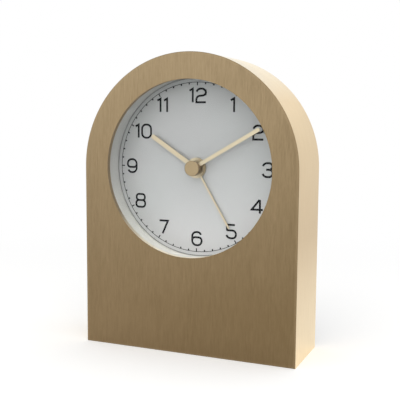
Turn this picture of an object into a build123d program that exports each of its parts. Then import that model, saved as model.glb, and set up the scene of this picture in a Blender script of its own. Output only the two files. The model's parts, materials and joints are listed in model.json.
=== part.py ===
from build123d import *
import math
import os

# An arch-topped quartz alarm clock for a shelf, in millimetres. X runs to the right as the
# dial is read, Y from the front to the back and Z up. The origin is at the middle of the
# base, halfway between the front and the back.

# The case
case_depth = 38.0
window_radius = 44.0
border_width = 13.0
dial_height = 93.0
panel_thickness = 2.5
band_wall = 2.2
edge_break = 0.25
panel_lip_thickness = 1.5
panel_lip_depth = 2.5
slip_fit = 0.15

# The glass, the ring inside the window and the dial
lens_thickness = 2.0
lens_seat = 1.2
ring_step = 1.4
ring_wall = 1.8
dial_depth = 14.0
dial_thickness = 0.5
dial_edge_gap = 0.2
frame_floor = 1.5
flange_thickness = 3.2
stud_radius = 1.5
stud_hole_play = 0.15
stud_reach = 2.2
clip_thickness = 0.6
clip_width = 0.8

# The hands, with their angles read clockwise from twelve
hour_angle = 303.2
minute_angle = 60.0
alarm_angle = 149.0
hour_length = 29.2
minute_length = 40.0
alarm_length = 35.0
hour_width = 2.3
minute_width = 1.9
alarm_width = 0.9
hand_thickness = 0.4
hub_thickness = 0.8
alarm_hub_radius = 5.2
hour_hub_radius = 4.75
minute_hub_radius = 3.7
hand_gap = 0.3
alarm_hand_rise = 0.6
minute_lift = 2.05
cap_radius = 3.85
cap_height = 1.7

# The concentric arbors behind the hands
cannon_radius = 1.2
pipe_wall = 0.85
bush_wall = 1.1
running_fit = 0.05
push_fit = 0.02
bush_proud = 0.25

# The gears
motion_module = 0.4
alarm_module = 0.4
train_module = 0.3
leaf_count = 6
centre_teeth = 48
third_teeth = 45
fourth_teeth = 36
fifth_teeth = 30
cannon_teeth = 12
minute_wheel_teeth = 36
minute_pinion_teeth = 10
hour_wheel_teeth = 40
alarm_pinion_teeth = 12
alarm_wheel_teeth = 36
tooth_share = 0.42
tooth_tip_share = 0.55
addendum = 0.8
dedendum = 1.2
motion_wheel_thickness = 1.0
train_wheel_thickness = 0.7
layer_gap = 0.45
pinion_overhang = 0.2
arbor_radius = 0.45
set_arbor_radius = 1.0
set_pivot_radius = 0.6
pivot_depth = 0.7

# The directions in which the train is laid out, anticlockwise from the right
motion_direction = -20.0
alarm_direction = 200.0
third_direction = 135.0
fourth_direction = 60.0
fifth_direction = 0.0
rotor_direction = -20.0

# The motor
magnet_radius = 2.4
magnet_height = 1.8
stator_gap = 0.4
stator_rim = 1.1
stator_arm = 3.0
stator_thickness = 0.8
coil_radius = 3.4
coil_length = 17.0
coil_flange = 1.0
coil_flange_rim = 0.5
coil_wall_gap = 1.1
coil_leg_gap = 0.6

# The movement's housing
shell_floor = 1.2
shell_wall = 1.4
shell_corner = 2.0
gear_margin = 1.5
inner_wall = 0.8
plate_thickness = 1.0
post_radius = 1.8
post_inset = 3.2
peg_radius = 0.8
peg_proud = 0.3
ear_reach = 6.5
ear_width = 7.0
ear_thickness = 1.6
ear_spread = 24.0
boss_height = 4.0
boss_radius = 2.6
movement_screw_radius = 0.9
movement_screw_length = 4.8
movement_screw_head = 2.0
movement_screw_head_height = 1.2
screw_play = 0.05
screw_hole_play = 0.3

# The electronics
board_width = 14.0
board_height = 27.0
board_thickness = 1.0
board_margin = 0.8
board_standoff = 1.5
chip_radius = 3.2
chip_height = 1.0
crystal_radius = 1.0
crystal_length = 6.0
contact_leaf_width = 2.6
contact_leaf_thickness = 0.2
buzzer_radius = 11.0
buzzer_height = 4.0
buzzer_level = 33.0
buzzer_port_radius = 1.0
buzzer_rib_wall = 1.2
buzzer_rib_height = 3.0

# The battery, its contacts and its door
battery_radius = 7.1
battery_length = 49.2
battery_play = 0.2
battery_side_play = 0.5
nub_radius = 2.75
nub_length = 1.0
contact_space = 1.8
contact_thickness = 0.4
contact_width = 8.0
contact_reach_gap = 0.1
door_thickness = 1.8
door_gap = 0.3
door_pin_radius = 0.6
door_pin_length = 1.5
door_notch_radius = 5.0
door_rib_count = 3
door_rib_width = 0.8
door_rib_pitch = 2.2
door_rib_height = 0.35
door_rib_length = 16.0

# The back cover, its screws, knobs and switch
cover_thickness = 2.0
cover_gap = 0.2
cover_fit = 0.2
case_boss_radius = 3.5
case_boss_inset = 3.0
case_boss_length = 10.0
case_boss_angle = 45.0
case_screw_radius = 1.1
case_screw_length = 8.0
case_screw_head = 2.5
case_screw_head_height = 1.2
case_screw_seat = 1.0
slot_share = 0.6
slot_width = 0.7
slot_depth = 0.6
knob_radius = 6.5
knob_height = 3.6
knob_gap = 0.4
knob_socket = 2.4
knob_flutes = 12
knob_flute_radius = 0.9
knob_flute_bite = 0.45
sound_hole_radius = 1.0
sound_hole_pitch = 3.6
sound_hole_count = 6
switch_stem_width = 2.4
switch_stem_height = 3.4
switch_travel = 4.0
switch_play = 0.25
switch_foot_width = 6.0
switch_foot_height = 6.0
switch_foot_thickness = 0.8
switch_thumb_width = 5.0
switch_thumb_height = 5.0
switch_thumb_thickness = 1.6
switch_ridge_count = 3

# Depths, from the front face to the back cover
arch_radius = window_radius + border_width
front_face = -case_depth / 2
back_edge = case_depth / 2
panel_rear = front_face + panel_thickness
lens_rear = panel_rear + lens_thickness
dial_face = front_face + dial_depth
dial_rear = dial_face + dial_thickness
frame_rear = dial_rear + frame_floor
shell_inside = frame_rear + shell_floor
pivot_floor = shell_inside - pivot_depth - running_fit
battery_centre = shell_inside + battery_play + battery_radius
door_inner = battery_centre + battery_radius + battery_play
cover_outer = door_inner + door_thickness
cover_inner = cover_outer - cover_thickness
movement_rear = cover_inner - cover_gap
rear_plate = movement_rear - shell_floor
pivot_roof = rear_plate + pivot_depth

# Radii around the dial's centre
ring_radius = window_radius + ring_step
lens_radius = ring_radius + lens_seat
lens_bore = lens_radius + slip_fit
band_inside = arch_radius - band_wall
lip_outside = band_inside - slip_fit
flange_radius = lip_outside - panel_lip_thickness - 2 * slip_fit
stud_circle = (lens_bore + flange_radius) / 2
hour_pipe_bore = cannon_radius + running_fit
hour_pipe_radius = hour_pipe_bore + pipe_wall
alarm_pipe_bore = hour_pipe_radius + running_fit
alarm_pipe_radius = alarm_pipe_bore + pipe_wall
bush_bore = alarm_pipe_radius + running_fit
bush_radius = bush_bore + bush_wall

# Hands, each from its rear face to its front face
alarm_hub_rear = dial_face - alarm_hand_rise
alarm_hub_front = alarm_hub_rear - hub_thickness
hour_hub_rear = alarm_hub_front - hand_gap
hour_hub_front = hour_hub_rear - hub_thickness
minute_hub_rear = hour_hub_front - minute_lift
minute_hub_front = minute_hub_rear - hub_thickness
cap_front = minute_hub_front - cap_height
cannon_tip = minute_hub_front - cap_height / 2

# Layers inside the movement, each the front face of the wheel that lies in it
alarm_layer = shell_inside + layer_gap
alarm_layer_rear = alarm_layer + motion_wheel_thickness
hour_layer = alarm_layer_rear + layer_gap
hour_layer_rear = hour_layer + motion_wheel_thickness
motion_layer = hour_layer_rear + layer_gap
motion_layer_rear = motion_layer + motion_wheel_thickness
plate_front = motion_layer_rear + layer_gap
plate_rear = plate_front + plate_thickness
centre_layer = plate_rear + layer_gap
third_layer = centre_layer + train_wheel_thickness + layer_gap
fourth_layer = third_layer + train_wheel_thickness + layer_gap
fifth_layer = fourth_layer + train_wheel_thickness + layer_gap
shell_split = plate_rear + layer_gap

# Distances between arbors: both gear pairs of the motion work share one
motion_distance = motion_module * (cannon_teeth + minute_wheel_teeth) / 2
hour_module = 2 * motion_distance / (minute_pinion_teeth + hour_wheel_teeth)
alarm_distance = alarm_module * (alarm_pinion_teeth + alarm_wheel_teeth) / 2


def polar(radius, degrees, start=(0.0, 0.0)):
    """A point at this distance and direction from another, across the dial."""
    angle = math.radians(degrees)
    return (start[0] + radius * math.cos(angle), start[1] + radius * math.sin(angle))


def train_distance(wheel_teeth):
    """The distance between a train wheel's arbor and the pinion that it meets."""
    return train_module * (wheel_teeth + leaf_count) / 2


# Arbors, across the dial from its centre
motion_arbor = polar(motion_distance, motion_direction)
alarm_arbor = polar(alarm_distance, alarm_direction)
third_arbor = polar(train_distance(centre_teeth), third_direction)
fourth_arbor = polar(train_distance(third_teeth), fourth_direction, third_arbor)
fifth_arbor = polar(train_distance(fourth_teeth), fifth_direction, fourth_arbor)
rotor_arbor = polar(train_distance(fifth_teeth), rotor_direction, fifth_arbor)

# The movement's plan, across the dial from its centre
motion_wheel_reach = motion_module * (minute_wheel_teeth / 2 + addendum)
fourth_wheel_reach = train_module * (fourth_teeth / 2 + addendum)
box_inside = (battery_length + nub_length) / 2 + contact_space
box_half = box_inside + shell_wall
gear_top = fourth_arbor[1] + fourth_wheel_reach + gear_margin
gear_bottom = motion_arbor[1] - motion_wheel_reach - gear_margin
shell_top = gear_top + shell_wall
shelf_bottom = gear_bottom - shell_wall
battery_level = shelf_bottom - battery_side_play - battery_radius
box_bottom = battery_level - battery_radius - battery_side_play
shell_bottom = box_bottom - shell_wall
gear_middle = (gear_top + gear_bottom) / 2
gear_span = gear_top - gear_bottom
coil_level = gear_middle
coil_low = coil_level - coil_length / 2
coil_high = coil_level + coil_length / 2
coil_reach = coil_radius + coil_flange_rim
coil_across = box_inside - coil_wall_gap - coil_reach
stator_hole = magnet_radius + stator_gap
stator_leg = coil_across - coil_reach - coil_leg_gap - stator_arm / 2
stator_corners = [
    (stator_leg, coil_low - stator_arm / 2),
    (stator_leg, coil_high + stator_arm / 2),
]
stator_front = centre_layer + (magnet_height - stator_thickness) / 2
stator_rear = stator_front + stator_thickness
board_across = -box_inside + board_margin + board_width / 2
board_rear = rear_plate - board_standoff
board_front = board_rear - board_thickness
post_places = [
    (side * (box_inside - post_inset), level)
    for side in (-1, 1)
    for level in (gear_bottom + post_inset, gear_top - post_inset)
]
ear_places = [
    (side * (box_half + ear_reach / 2), gear_middle + end * ear_spread / 2)
    for side in (-1, 1)
    for end in (-1, 1)
]

# The door's opening and hinge, and the switch's slot, across the dial from its centre
door_half = box_inside
door_top = shelf_bottom
door_bottom = box_bottom
door_pivot_depth = cover_outer - door_thickness / 2
door_pivot_level = door_top - door_thickness / 2
switch_across = board_across
switch_level = gear_middle


def at_dial(point):
    """Moves a sketch drawn about the origin to a point measured from the dial's centre."""
    return Pos(point[0], dial_height + point[1])


def slab(sketch, front, rear):
    """A solid between two depths, from an outline drawn across the front of the clock."""
    plane = Plane(origin=(0, rear, 0), x_dir=(1, 0, 0), z_dir=(0, -1, 0))
    return extrude(plane * sketch, amount=rear - front, dir=(0, -1, 0))


def disc(radius, front, rear, point=(0.0, 0.0)):
    """A round solid on an arbor, measured from the dial's centre."""
    return slab(at_dial(point) * Circle(radius), front, rear)


def block(width, height, front, rear, point=(0.0, 0.0)):
    """A rectangular solid, measured from the dial's centre."""
    return slab(at_dial(point) * Rectangle(width, height), front, rear)


def arch(inset):
    """The case's outline, drawn in by an even margin."""
    radius = arch_radius - inset
    spring_left = (-radius, dial_height)
    spring_right = (radius, dial_height)
    foot = Polyline(spring_left, (-radius, inset), (radius, inset), spring_right)
    crown = ThreePointArc(spring_right, (0, dial_height + radius), spring_left)
    return make_face(foot + crown)


def tooth_points(teeth, module, phase):
    """The outline of a gear with straight-flanked teeth, one tooth pointing at the phase."""
    pitch_radius = module * teeth / 2
    tip_radius = pitch_radius + addendum * module
    root_radius = pitch_radius - dedendum * module
    half_pitch = math.degrees(math.pi / teeth) * tooth_share
    half_tip = half_pitch * tooth_tip_share
    half_root = min(half_pitch * (2 - tooth_tip_share), 0.9 * math.degrees(math.pi / teeth))
    corners = ((root_radius, -half_root), (tip_radius, -half_tip))
    corners += ((tip_radius, half_tip), (root_radius, half_root))
    step = 360 / teeth
    return [polar(r, phase + n * step + turn) for n in range(teeth) for r, turn in corners]


def gear(teeth, module, phase, front, rear, point=(0.0, 0.0)):
    """A toothed disc on an arbor."""
    outline = Polygon(*tooth_points(teeth, module, phase), align=None)
    return slab(at_dial(point) * outline, front, rear)


def facing_gap(teeth, direction):
    """The phase that turns a gap towards a tooth of the gear in this direction."""
    return direction + 180 / teeth


def train_wheel(arbor, wheel_teeth, wheel_front, wheel_phase, leaf_front, leaf_phase):
    """A going-train wheel: its pinion, its wheel and the arbor that both are moulded on."""
    body = disc(arbor_radius, plate_front + running_fit, pivot_roof, arbor)
    leaf_rear = leaf_front + train_wheel_thickness + pinion_overhang
    body += gear(leaf_count, train_module, leaf_phase, leaf_front - pinion_overhang, leaf_rear, arbor)
    wheel_rear = wheel_front + train_wheel_thickness
    return body + gear(wheel_teeth, train_module, wheel_phase, wheel_front, wheel_rear, arbor)


def ring_of(count, radius, start_angle):
    """Points spaced evenly on a circle about the dial's centre."""
    return [polar(radius, start_angle + n * 360 / count) for n in range(count)]


stud_places = ring_of(4, stud_circle, 45)


def build_front_panel():
    """The brushed plate with its round window, a lip inside the band and four studs."""
    plate = slab(arch(0), front_face, panel_rear)
    plate = chamfer(plate.faces().sort_by(Axis.Y)[0].edges(), edge_break)
    plate -= disc(window_radius, front_face, panel_rear)
    lip_rear = panel_rear + panel_lip_depth
    inset = arch_radius - lip_outside
    plate += slab(arch(inset) - arch(inset + panel_lip_thickness), panel_rear, lip_rear)
    stud_end = panel_rear + flange_thickness + stud_reach
    for place in stud_places:
        plate += disc(stud_radius, panel_rear, stud_end, place)
    return plate


def case_boss_places():
    """The four screw columns: two in the bottom corners and two under the arch."""
    side = band_inside - case_boss_inset
    low = band_wall + case_boss_inset - dial_height
    high = [polar(side, angle) for angle in (case_boss_angle, 180 - case_boss_angle)]
    return [(-side, low), (side, low)] + high


def build_case_band():
    """The smooth arched band, with the columns that take the back cover's screws."""
    band = slab(arch(0) - arch(band_wall), panel_rear, back_edge)
    band = chamfer(band.faces().sort_by(Axis.Y)[-1].edges(), edge_break)
    inside = slab(arch(band_wall / 2), cover_inner - case_boss_length, cover_inner)
    for place in case_boss_places():
        column = disc(case_boss_radius, cover_inner - case_boss_length, cover_inner, place)
        band += column & inside
        pilot_end = cover_inner - case_screw_length
        band -= disc(case_screw_radius + screw_play, pilot_end, cover_inner, place)
    return band


def build_lens():
    """The flat glass behind the window."""
    glass = disc(lens_radius, panel_rear, lens_rear)
    return chamfer(glass.edges(), edge_break)


def build_dial_frame():
    """The moulded cup behind the window: flange, inner ring, floor and screw bosses."""
    flange_rear = panel_rear + flange_thickness
    frame = disc(flange_radius, panel_rear, flange_rear)
    frame += disc(ring_radius + ring_wall, panel_rear, frame_rear)
    frame -= disc(lens_bore, panel_rear, lens_rear)
    frame -= disc(ring_radius, lens_rear, dial_rear)
    frame -= disc(bush_radius + slip_fit, dial_rear, frame_rear)
    for place in stud_places:
        frame -= disc(stud_radius + stud_hole_play, panel_rear, flange_rear, place)
    boss_end = frame_rear + boss_height
    pilot_front = boss_end + ear_thickness - movement_screw_length
    for place in ear_places:
        frame += disc(boss_radius, frame_rear, boss_end, place)
        frame -= disc(movement_screw_radius + screw_play, pilot_front, boss_end, place)
    return frame


def build_dial_plate():
    """The thin metal dial."""
    plate = disc(ring_radius - dial_edge_gap, dial_face, dial_rear)
    return plate - disc(bush_radius + slip_fit, dial_face, dial_rear)


def build_stud_clips():
    """Spring washers pushed on the panel's studs."""
    front = panel_rear + flange_thickness
    clips = []
    for place in stud_places:
        washer = disc(stud_radius + clip_width, front, front + clip_thickness, place)
        clips.append(washer - disc(stud_radius + push_fit, front, front + clip_thickness, place))
    return Compound(children=clips)


def hand(angle, length, width, hub_radius, bore, hub_front, hub_rear):
    """A flat round-ended hand on a disc-shaped hub."""
    front = (hub_front + hub_rear - hand_thickness) / 2
    rear = front + hand_thickness
    straight = length - width / 2
    blade = at_dial((0, 0)) * Rot(0, 0, -angle) * Pos(0, straight / 2)
    body = slab(blade * Rectangle(width, straight), front, rear)
    body += disc(width / 2, front, rear, polar(straight, 90 - angle))
    body += disc(hub_radius, hub_front, hub_rear)
    return body - disc(bore, hub_front, hub_rear)


def build_alarm_hand():
    """The thin hand that shows the alarm's time, nearest the dial."""
    bore = alarm_pipe_radius + push_fit
    hub = (alarm_hub_radius, bore, alarm_hub_front, alarm_hub_rear)
    return hand(alarm_angle, alarm_length, alarm_width, *hub)


def build_hour_hand():
    """The short broad hand on the hour pipe."""
    bore = hour_pipe_radius + push_fit
    hub = (hour_hub_radius, bore, hour_hub_front, hour_hub_rear)
    return hand(hour_angle, hour_length, hour_width, *hub)


def build_minute_hand():
    """The long hand, on a collar that lifts it clear of the hour hand."""
    bore = cannon_radius + push_fit
    hub = (minute_hub_radius, bore, minute_hub_front, minute_hub_rear)
    body = hand(minute_angle, minute_length, minute_width, *hub)
    collar_rear = hour_hub_front - hand_gap
    collar = disc(hour_pipe_radius, minute_hub_rear, collar_rear)
    return body + (collar - disc(bore, minute_hub_rear, collar_rear))


def build_hand_cap():
    """The thick round cap that closes the minute arbor."""
    cap = disc(cap_radius, cap_front, minute_hub_front)
    cap = chamfer(cap.faces().sort_by(Axis.Y)[0].edges(), edge_break)
    return cap - disc(cannon_radius + push_fit, cannon_tip, minute_hub_front)


def build_cannon_pinion():
    """The minute arbor with the pinion that drives the motion work."""
    shaft_end = third_layer - layer_gap / 2
    body = disc(cannon_radius, cannon_tip, shaft_end)
    body += gear(cannon_teeth, motion_module, motion_direction, motion_layer, motion_layer_rear)
    return body + disc(arbor_radius, shaft_end, pivot_roof)


def build_motion_wheel():
    """The minute wheel and its pinion, on the arbor that the time knob turns."""
    phase = facing_gap(minute_wheel_teeth, motion_direction + 180)
    wheel = (motion_layer, motion_layer_rear, motion_arbor)
    body = gear(minute_wheel_teeth, motion_module, phase, *wheel)
    pinion_phase = facing_gap(minute_pinion_teeth, motion_direction + 180)
    pinion_front = hour_layer - pinion_overhang
    body += gear(minute_pinion_teeth, hour_module, pinion_phase, pinion_front, motion_layer, motion_arbor)
    return body + set_arbor(motion_arbor, pinion_front)


def set_arbor(arbor, shoulder):
    """An arbor that runs from the front shell out through the back cover to a knob."""
    pivot = disc(set_pivot_radius, shell_inside - pivot_depth, shoulder, arbor)
    return pivot + disc(set_arbor_radius, shoulder, cover_outer + knob_gap + knob_socket, arbor)


def build_hour_wheel():
    """The hour wheel and the pipe that carries the hour hand."""
    body = gear(hour_wheel_teeth, hour_module, motion_direction, hour_layer, hour_layer_rear)
    body += disc(hour_pipe_radius, hour_hub_front, hour_layer)
    return body - disc(hour_pipe_bore, hour_hub_front, hour_layer_rear)


def build_alarm_wheel():
    """The alarm wheel and the outer pipe that carries the alarm hand."""
    body = gear(alarm_wheel_teeth, alarm_module, alarm_direction, alarm_layer, alarm_layer_rear)
    body += disc(alarm_pipe_radius, alarm_hub_front, alarm_layer)
    return body - disc(alarm_pipe_bore, alarm_hub_front, alarm_layer_rear)


def build_alarm_pinion():
    """The pinion that sets the alarm wheel, on its knob's arbor."""
    phase = facing_gap(alarm_pinion_teeth, alarm_direction + 180)
    pinion_front = alarm_layer - pinion_overhang
    body = gear(alarm_pinion_teeth, alarm_module, phase, pinion_front, alarm_layer_rear, alarm_arbor)
    return body + set_arbor(alarm_arbor, pinion_front)


def build_centre_wheel():
    """The wheel that turns once an hour and drags the minute arbor round by friction."""
    wheel_rear = centre_layer + train_wheel_thickness
    wheel = gear(centre_teeth, train_module, third_direction, centre_layer, wheel_rear)
    return wheel - disc(cannon_radius + running_fit, centre_layer, wheel_rear)


def build_clutch_spring():
    """The washer on the minute arbor that presses on the centre wheel."""
    front = plate_rear + layer_gap / 4
    rear = centre_layer - layer_gap / 4
    return disc(2 * cannon_radius, front, rear) - disc(cannon_radius + push_fit, front, rear)


def build_third_wheel():
    """The third wheel of the going train."""
    leaf_phase = facing_gap(leaf_count, third_direction + 180)
    return train_wheel(third_arbor, third_teeth, third_layer, fourth_direction, centre_layer, leaf_phase)


def build_fourth_wheel():
    """The wheel that turns once a minute."""
    leaf_phase = facing_gap(leaf_count, fourth_direction + 180)
    return train_wheel(fourth_arbor, fourth_teeth, fourth_layer, fifth_direction, third_layer, leaf_phase)


def build_fifth_wheel():
    """The wheel next to the motor."""
    leaf_phase = facing_gap(leaf_count, fifth_direction + 180)
    return train_wheel(fifth_arbor, fifth_teeth, fifth_layer, rotor_direction, fourth_layer, leaf_phase)


def build_rotor():
    """The motor's magnet and pinion."""
    body = disc(arbor_radius, plate_front + running_fit, pivot_roof, rotor_arbor)
    body += disc(magnet_radius, centre_layer, centre_layer + magnet_height, rotor_arbor)
    phase = facing_gap(leaf_count, rotor_direction + 180)
    leaf_front = fifth_layer - pinion_overhang
    leaf_rear = fifth_layer + train_wheel_thickness + pinion_overhang
    return body + gear(leaf_count, train_module, phase, leaf_front, leaf_rear, rotor_arbor)


def strip(start, end):
    """A flat strip of the stator from one point to another, square to the case."""
    width = abs(end[0] - start[0]) + stator_arm
    height = abs(end[1] - start[1]) + stator_arm
    return at_dial(((start[0] + end[0]) / 2, (start[1] + end[1]) / 2)) * Rectangle(width, height)


def build_stator():
    """The iron plate that rings the rotor and reaches both ends of the coil."""
    plate = at_dial(rotor_arbor) * Circle(stator_hole + stator_rim)
    plate += strip(rotor_arbor, (stator_leg, rotor_arbor[1]))
    plate += strip(*stator_corners)
    for corner in stator_corners:
        plate += strip(corner, (coil_across, corner[1]))
    plate -= at_dial(rotor_arbor) * Circle(stator_hole)
    return slab(plate, stator_front, stator_rear)


def build_coil():
    """The motor's winding between its bobbin's two flanges."""
    middle = (stator_front + stator_rear) / 2
    spot = Plane(origin=(coil_across, middle, dial_height + coil_low), z_dir=(0, 0, 1))
    body = extrude(spot * Circle(coil_radius), amount=coil_length)
    flange = extrude(spot * Circle(coil_reach), amount=coil_flange)
    body += flange
    return body + Pos(0, 0, coil_length - coil_flange) * flange


def build_middle_plate():
    """The plate between the motion work and the going train, with the train's front pivots."""
    outline = Rectangle(2 * (box_inside - 2 * slip_fit), gear_span - 4 * slip_fit)
    plate = slab(at_dial((0, gear_middle)) * outline, plate_front, plate_rear)
    plate -= disc(cannon_radius + running_fit, plate_front, plate_rear)
    for arbor in (motion_arbor, alarm_arbor):
        plate -= disc(set_arbor_radius + running_fit, plate_front, plate_rear, arbor)
    for arbor in (third_arbor, fourth_arbor, fifth_arbor, rotor_arbor):
        plate -= disc(arbor_radius + running_fit, plate_front, plate_rear, arbor)
    for place in post_places:
        plate -= disc(peg_radius + screw_play, plate_front, plate_rear, place)
    notch_left = coil_across - coil_reach - layer_gap
    notch_centre = ((box_inside + notch_left) / 2, coil_level)
    notch_width = box_inside - notch_left
    plate -= block(notch_width, coil_length, plate_front, plate_rear, notch_centre)
    for corner in stator_corners:
        plate += disc(stator_arm / 2, plate_rear, stator_front, corner)
    return plate


def build_movement_base():
    """The front shell: floor, bush, gear walls, battery box, posts and screw ears."""
    height = shell_top - shell_bottom
    outline = RectangleRounded(2 * box_half, height, shell_corner)
    centre = (0, (shell_top + shell_bottom) / 2)
    body = slab(at_dial(centre) * outline, frame_rear, movement_rear)
    open_height = shell_top - gear_bottom
    open_centre = (0, (shell_top + gear_bottom) / 2)
    body -= block(2 * box_half, open_height, shell_split, movement_rear, open_centre)
    body -= block(2 * box_inside, gear_span, shell_inside, shell_split, (0, gear_middle))
    box_height = shelf_bottom - box_bottom
    body -= block(2 * box_inside, box_height, shell_inside, movement_rear, (0, battery_level))
    body += disc(bush_radius, dial_face - bush_proud, frame_rear)
    body -= disc(bush_bore, dial_face - bush_proud, shell_inside)
    for arbor in (motion_arbor, alarm_arbor):
        body -= disc(set_pivot_radius + running_fit, pivot_floor, shell_inside, arbor)
    for place in post_places:
        body += disc(post_radius, shell_inside, plate_front, place)
        body += disc(peg_radius, plate_front, plate_rear + peg_proud, place)
    return body + movement_ears()


def movement_ears():
    """Four tabs on the shell's sides, each with a screw hole."""
    front = frame_rear + boss_height
    rear = front + ear_thickness
    hole_radius = movement_screw_radius + screw_hole_play
    return [
        block(ear_reach, ear_width, front, rear, place) - disc(hole_radius, front, rear, place)
        for place in ear_places
    ]


def build_movement_cover():
    """The rear shell over the train, with its pivots, knob holes and board posts."""
    top, bottom = shell_top, gear_bottom + slip_fit
    middle = (0, (top + bottom) / 2)
    body = block(2 * box_half, top - bottom, shell_split, movement_rear, middle)
    body = fillet(body.edges().filter_by(Axis.Y).group_by(Axis.Z)[-1], shell_corner)
    inner_bottom = gear_bottom + slip_fit + inner_wall
    room = gear_top - inner_bottom
    body -= block(2 * box_inside, room, shell_split, rear_plate, (0, (gear_top + inner_bottom) / 2))
    for arbor in ((0, 0), third_arbor, fourth_arbor, fifth_arbor, rotor_arbor):
        body -= disc(arbor_radius + running_fit, rear_plate, pivot_roof + running_fit, arbor)
    for arbor in (motion_arbor, alarm_arbor):
        body -= disc(set_arbor_radius + running_fit, rear_plate, movement_rear, arbor)
    for end in (-1, 1):
        place = (board_across, gear_middle + end * (board_height / 2 - post_radius))
        body += disc(post_radius, board_rear, rear_plate, place)
    return body - switch_slot(rear_plate, movement_rear)


def switch_slot(front, rear):
    """The slot that the alarm switch's stem slides in."""
    width = switch_stem_width + 2 * switch_play
    height = switch_stem_height + switch_travel + 2 * switch_play
    return block(width, height, front, rear, (switch_across, switch_level))


def switch_rest_level():
    """The stem's height with the switch at the bottom of its slot."""
    return switch_level - switch_travel / 2


def build_alarm_switch():
    """The slide that turns the alarm on and off: foot, stem and ridged thumb piece."""
    level = (switch_across, switch_rest_level())
    foot_rear = rear_plate - switch_play
    foot_front = foot_rear - switch_foot_thickness
    body = block(switch_foot_width, switch_foot_height, foot_front, foot_rear, level)
    thumb_front = cover_outer + switch_play
    thumb_rear = thumb_front + switch_thumb_thickness
    body += block(switch_stem_width, switch_stem_height, foot_rear, thumb_front, level)
    thumb = block(switch_thumb_width, switch_thumb_height, thumb_front, thumb_rear, level)
    pitch = switch_thumb_height / (switch_ridge_count + 1)
    for n in range(switch_ridge_count):
        height = level[1] - switch_thumb_height / 2 + (n + 1) * pitch
        groove_front = thumb_rear - switch_thumb_thickness / 4
        thumb -= block(switch_thumb_width, pitch / 2, groove_front, thumb_rear, (switch_across, height))
    return body + thumb


def build_circuit_board():
    """The board that carries the clock's circuit, against the rear shell's posts."""
    return block(board_width, board_height, board_front, board_rear, (board_across, gear_middle))


def build_control_chip():
    """The sealed chip: a low dome of resin on the board."""
    dome = disc(chip_radius, board_front - chip_height, board_front, (board_across, gear_middle))
    return fillet(dome.faces().sort_by(Axis.Y)[0].edges(), 0.8 * chip_height)


def build_quartz_crystal():
    """The small metal can of the quartz crystal, lying on the board."""
    low = dial_height + gear_middle + chip_radius + crystal_radius
    spot = Plane(origin=(board_across, board_front - crystal_radius, low), z_dir=(0, 0, 1))
    can = extrude(spot * Circle(crystal_radius), amount=crystal_length)
    return fillet(can.edges(), crystal_radius / 4)


def build_alarm_contact():
    """The leaf that closes the alarm's circuit, on a post of its own beside the hour wheel."""
    rear = motion_layer - layer_gap / 4
    front = rear - contact_leaf_thickness
    hour_reach = hour_module * (hour_wheel_teeth / 2 - dedendum)
    level = hour_reach / 2
    post = (-box_inside + post_inset, level)
    tip = -hour_reach / 2
    leaf = block(tip - post[0], contact_leaf_width, front, rear, ((tip + post[0]) / 2, level))
    leaf += disc(contact_leaf_width / 2, front, rear, post)
    return leaf + disc(peg_radius, shell_inside, front, post)


def build_battery():
    """The round cell with its raised terminal."""
    left = -(battery_length + nub_length) / 2
    spot = Plane(origin=(left, battery_centre, dial_height + battery_level), z_dir=(1, 0, 0))
    can = extrude(spot * Circle(battery_radius), amount=battery_length)
    can = fillet(can.edges(), edge_break)
    nub = extrude(spot * Circle(nub_radius), amount=nub_length)
    return can + Pos(battery_length, 0, 0) * nub


def contact_plate(side):
    """A flat terminal against one end wall of the battery box."""
    across = side * (box_inside - contact_thickness / 2)
    front = battery_centre - contact_width / 2
    return block(contact_thickness, contact_width, front, front + contact_width, (across, battery_level))


def build_contact_positive():
    """The terminal that meets the cell's raised end, with a round pad."""
    wall = box_inside - contact_thickness
    reach = wall - (battery_length + nub_length) / 2 - contact_reach_gap
    spot = Plane(origin=(wall, battery_centre, dial_height + battery_level), z_dir=(-1, 0, 0))
    return contact_plate(1) + extrude(spot * Circle(nub_radius), amount=reach)


def build_contact_negative():
    """The terminal that presses on the cell's flat end, with a bent leaf."""
    wall = -box_inside + contact_thickness
    reach = -(battery_length + nub_length) / 2 - contact_reach_gap
    half = contact_width / 2
    leaf = [(wall, -half), (reach, 0), (wall, half), (wall, half - 2 * contact_thickness)]
    leaf += [(reach - contact_thickness, 0), (wall, 2 * contact_thickness - half)]
    outline = at_dial((0, battery_level)) * Polygon(*leaf, align=None)
    front = battery_centre - contact_width / 4
    return contact_plate(-1) + slab(outline, front, front + contact_width / 2)


def build_buzzer():
    """The round sounder behind the holes in the back cover."""
    place = (0, buzzer_level - dial_height)
    front = cover_inner - buzzer_height
    can = disc(buzzer_radius, front, cover_inner, place)
    can = fillet(can.faces().sort_by(Axis.Y)[0].edges(), edge_break)
    return can - disc(buzzer_port_radius, cover_inner - buzzer_height / 4, cover_inner, place)


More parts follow.
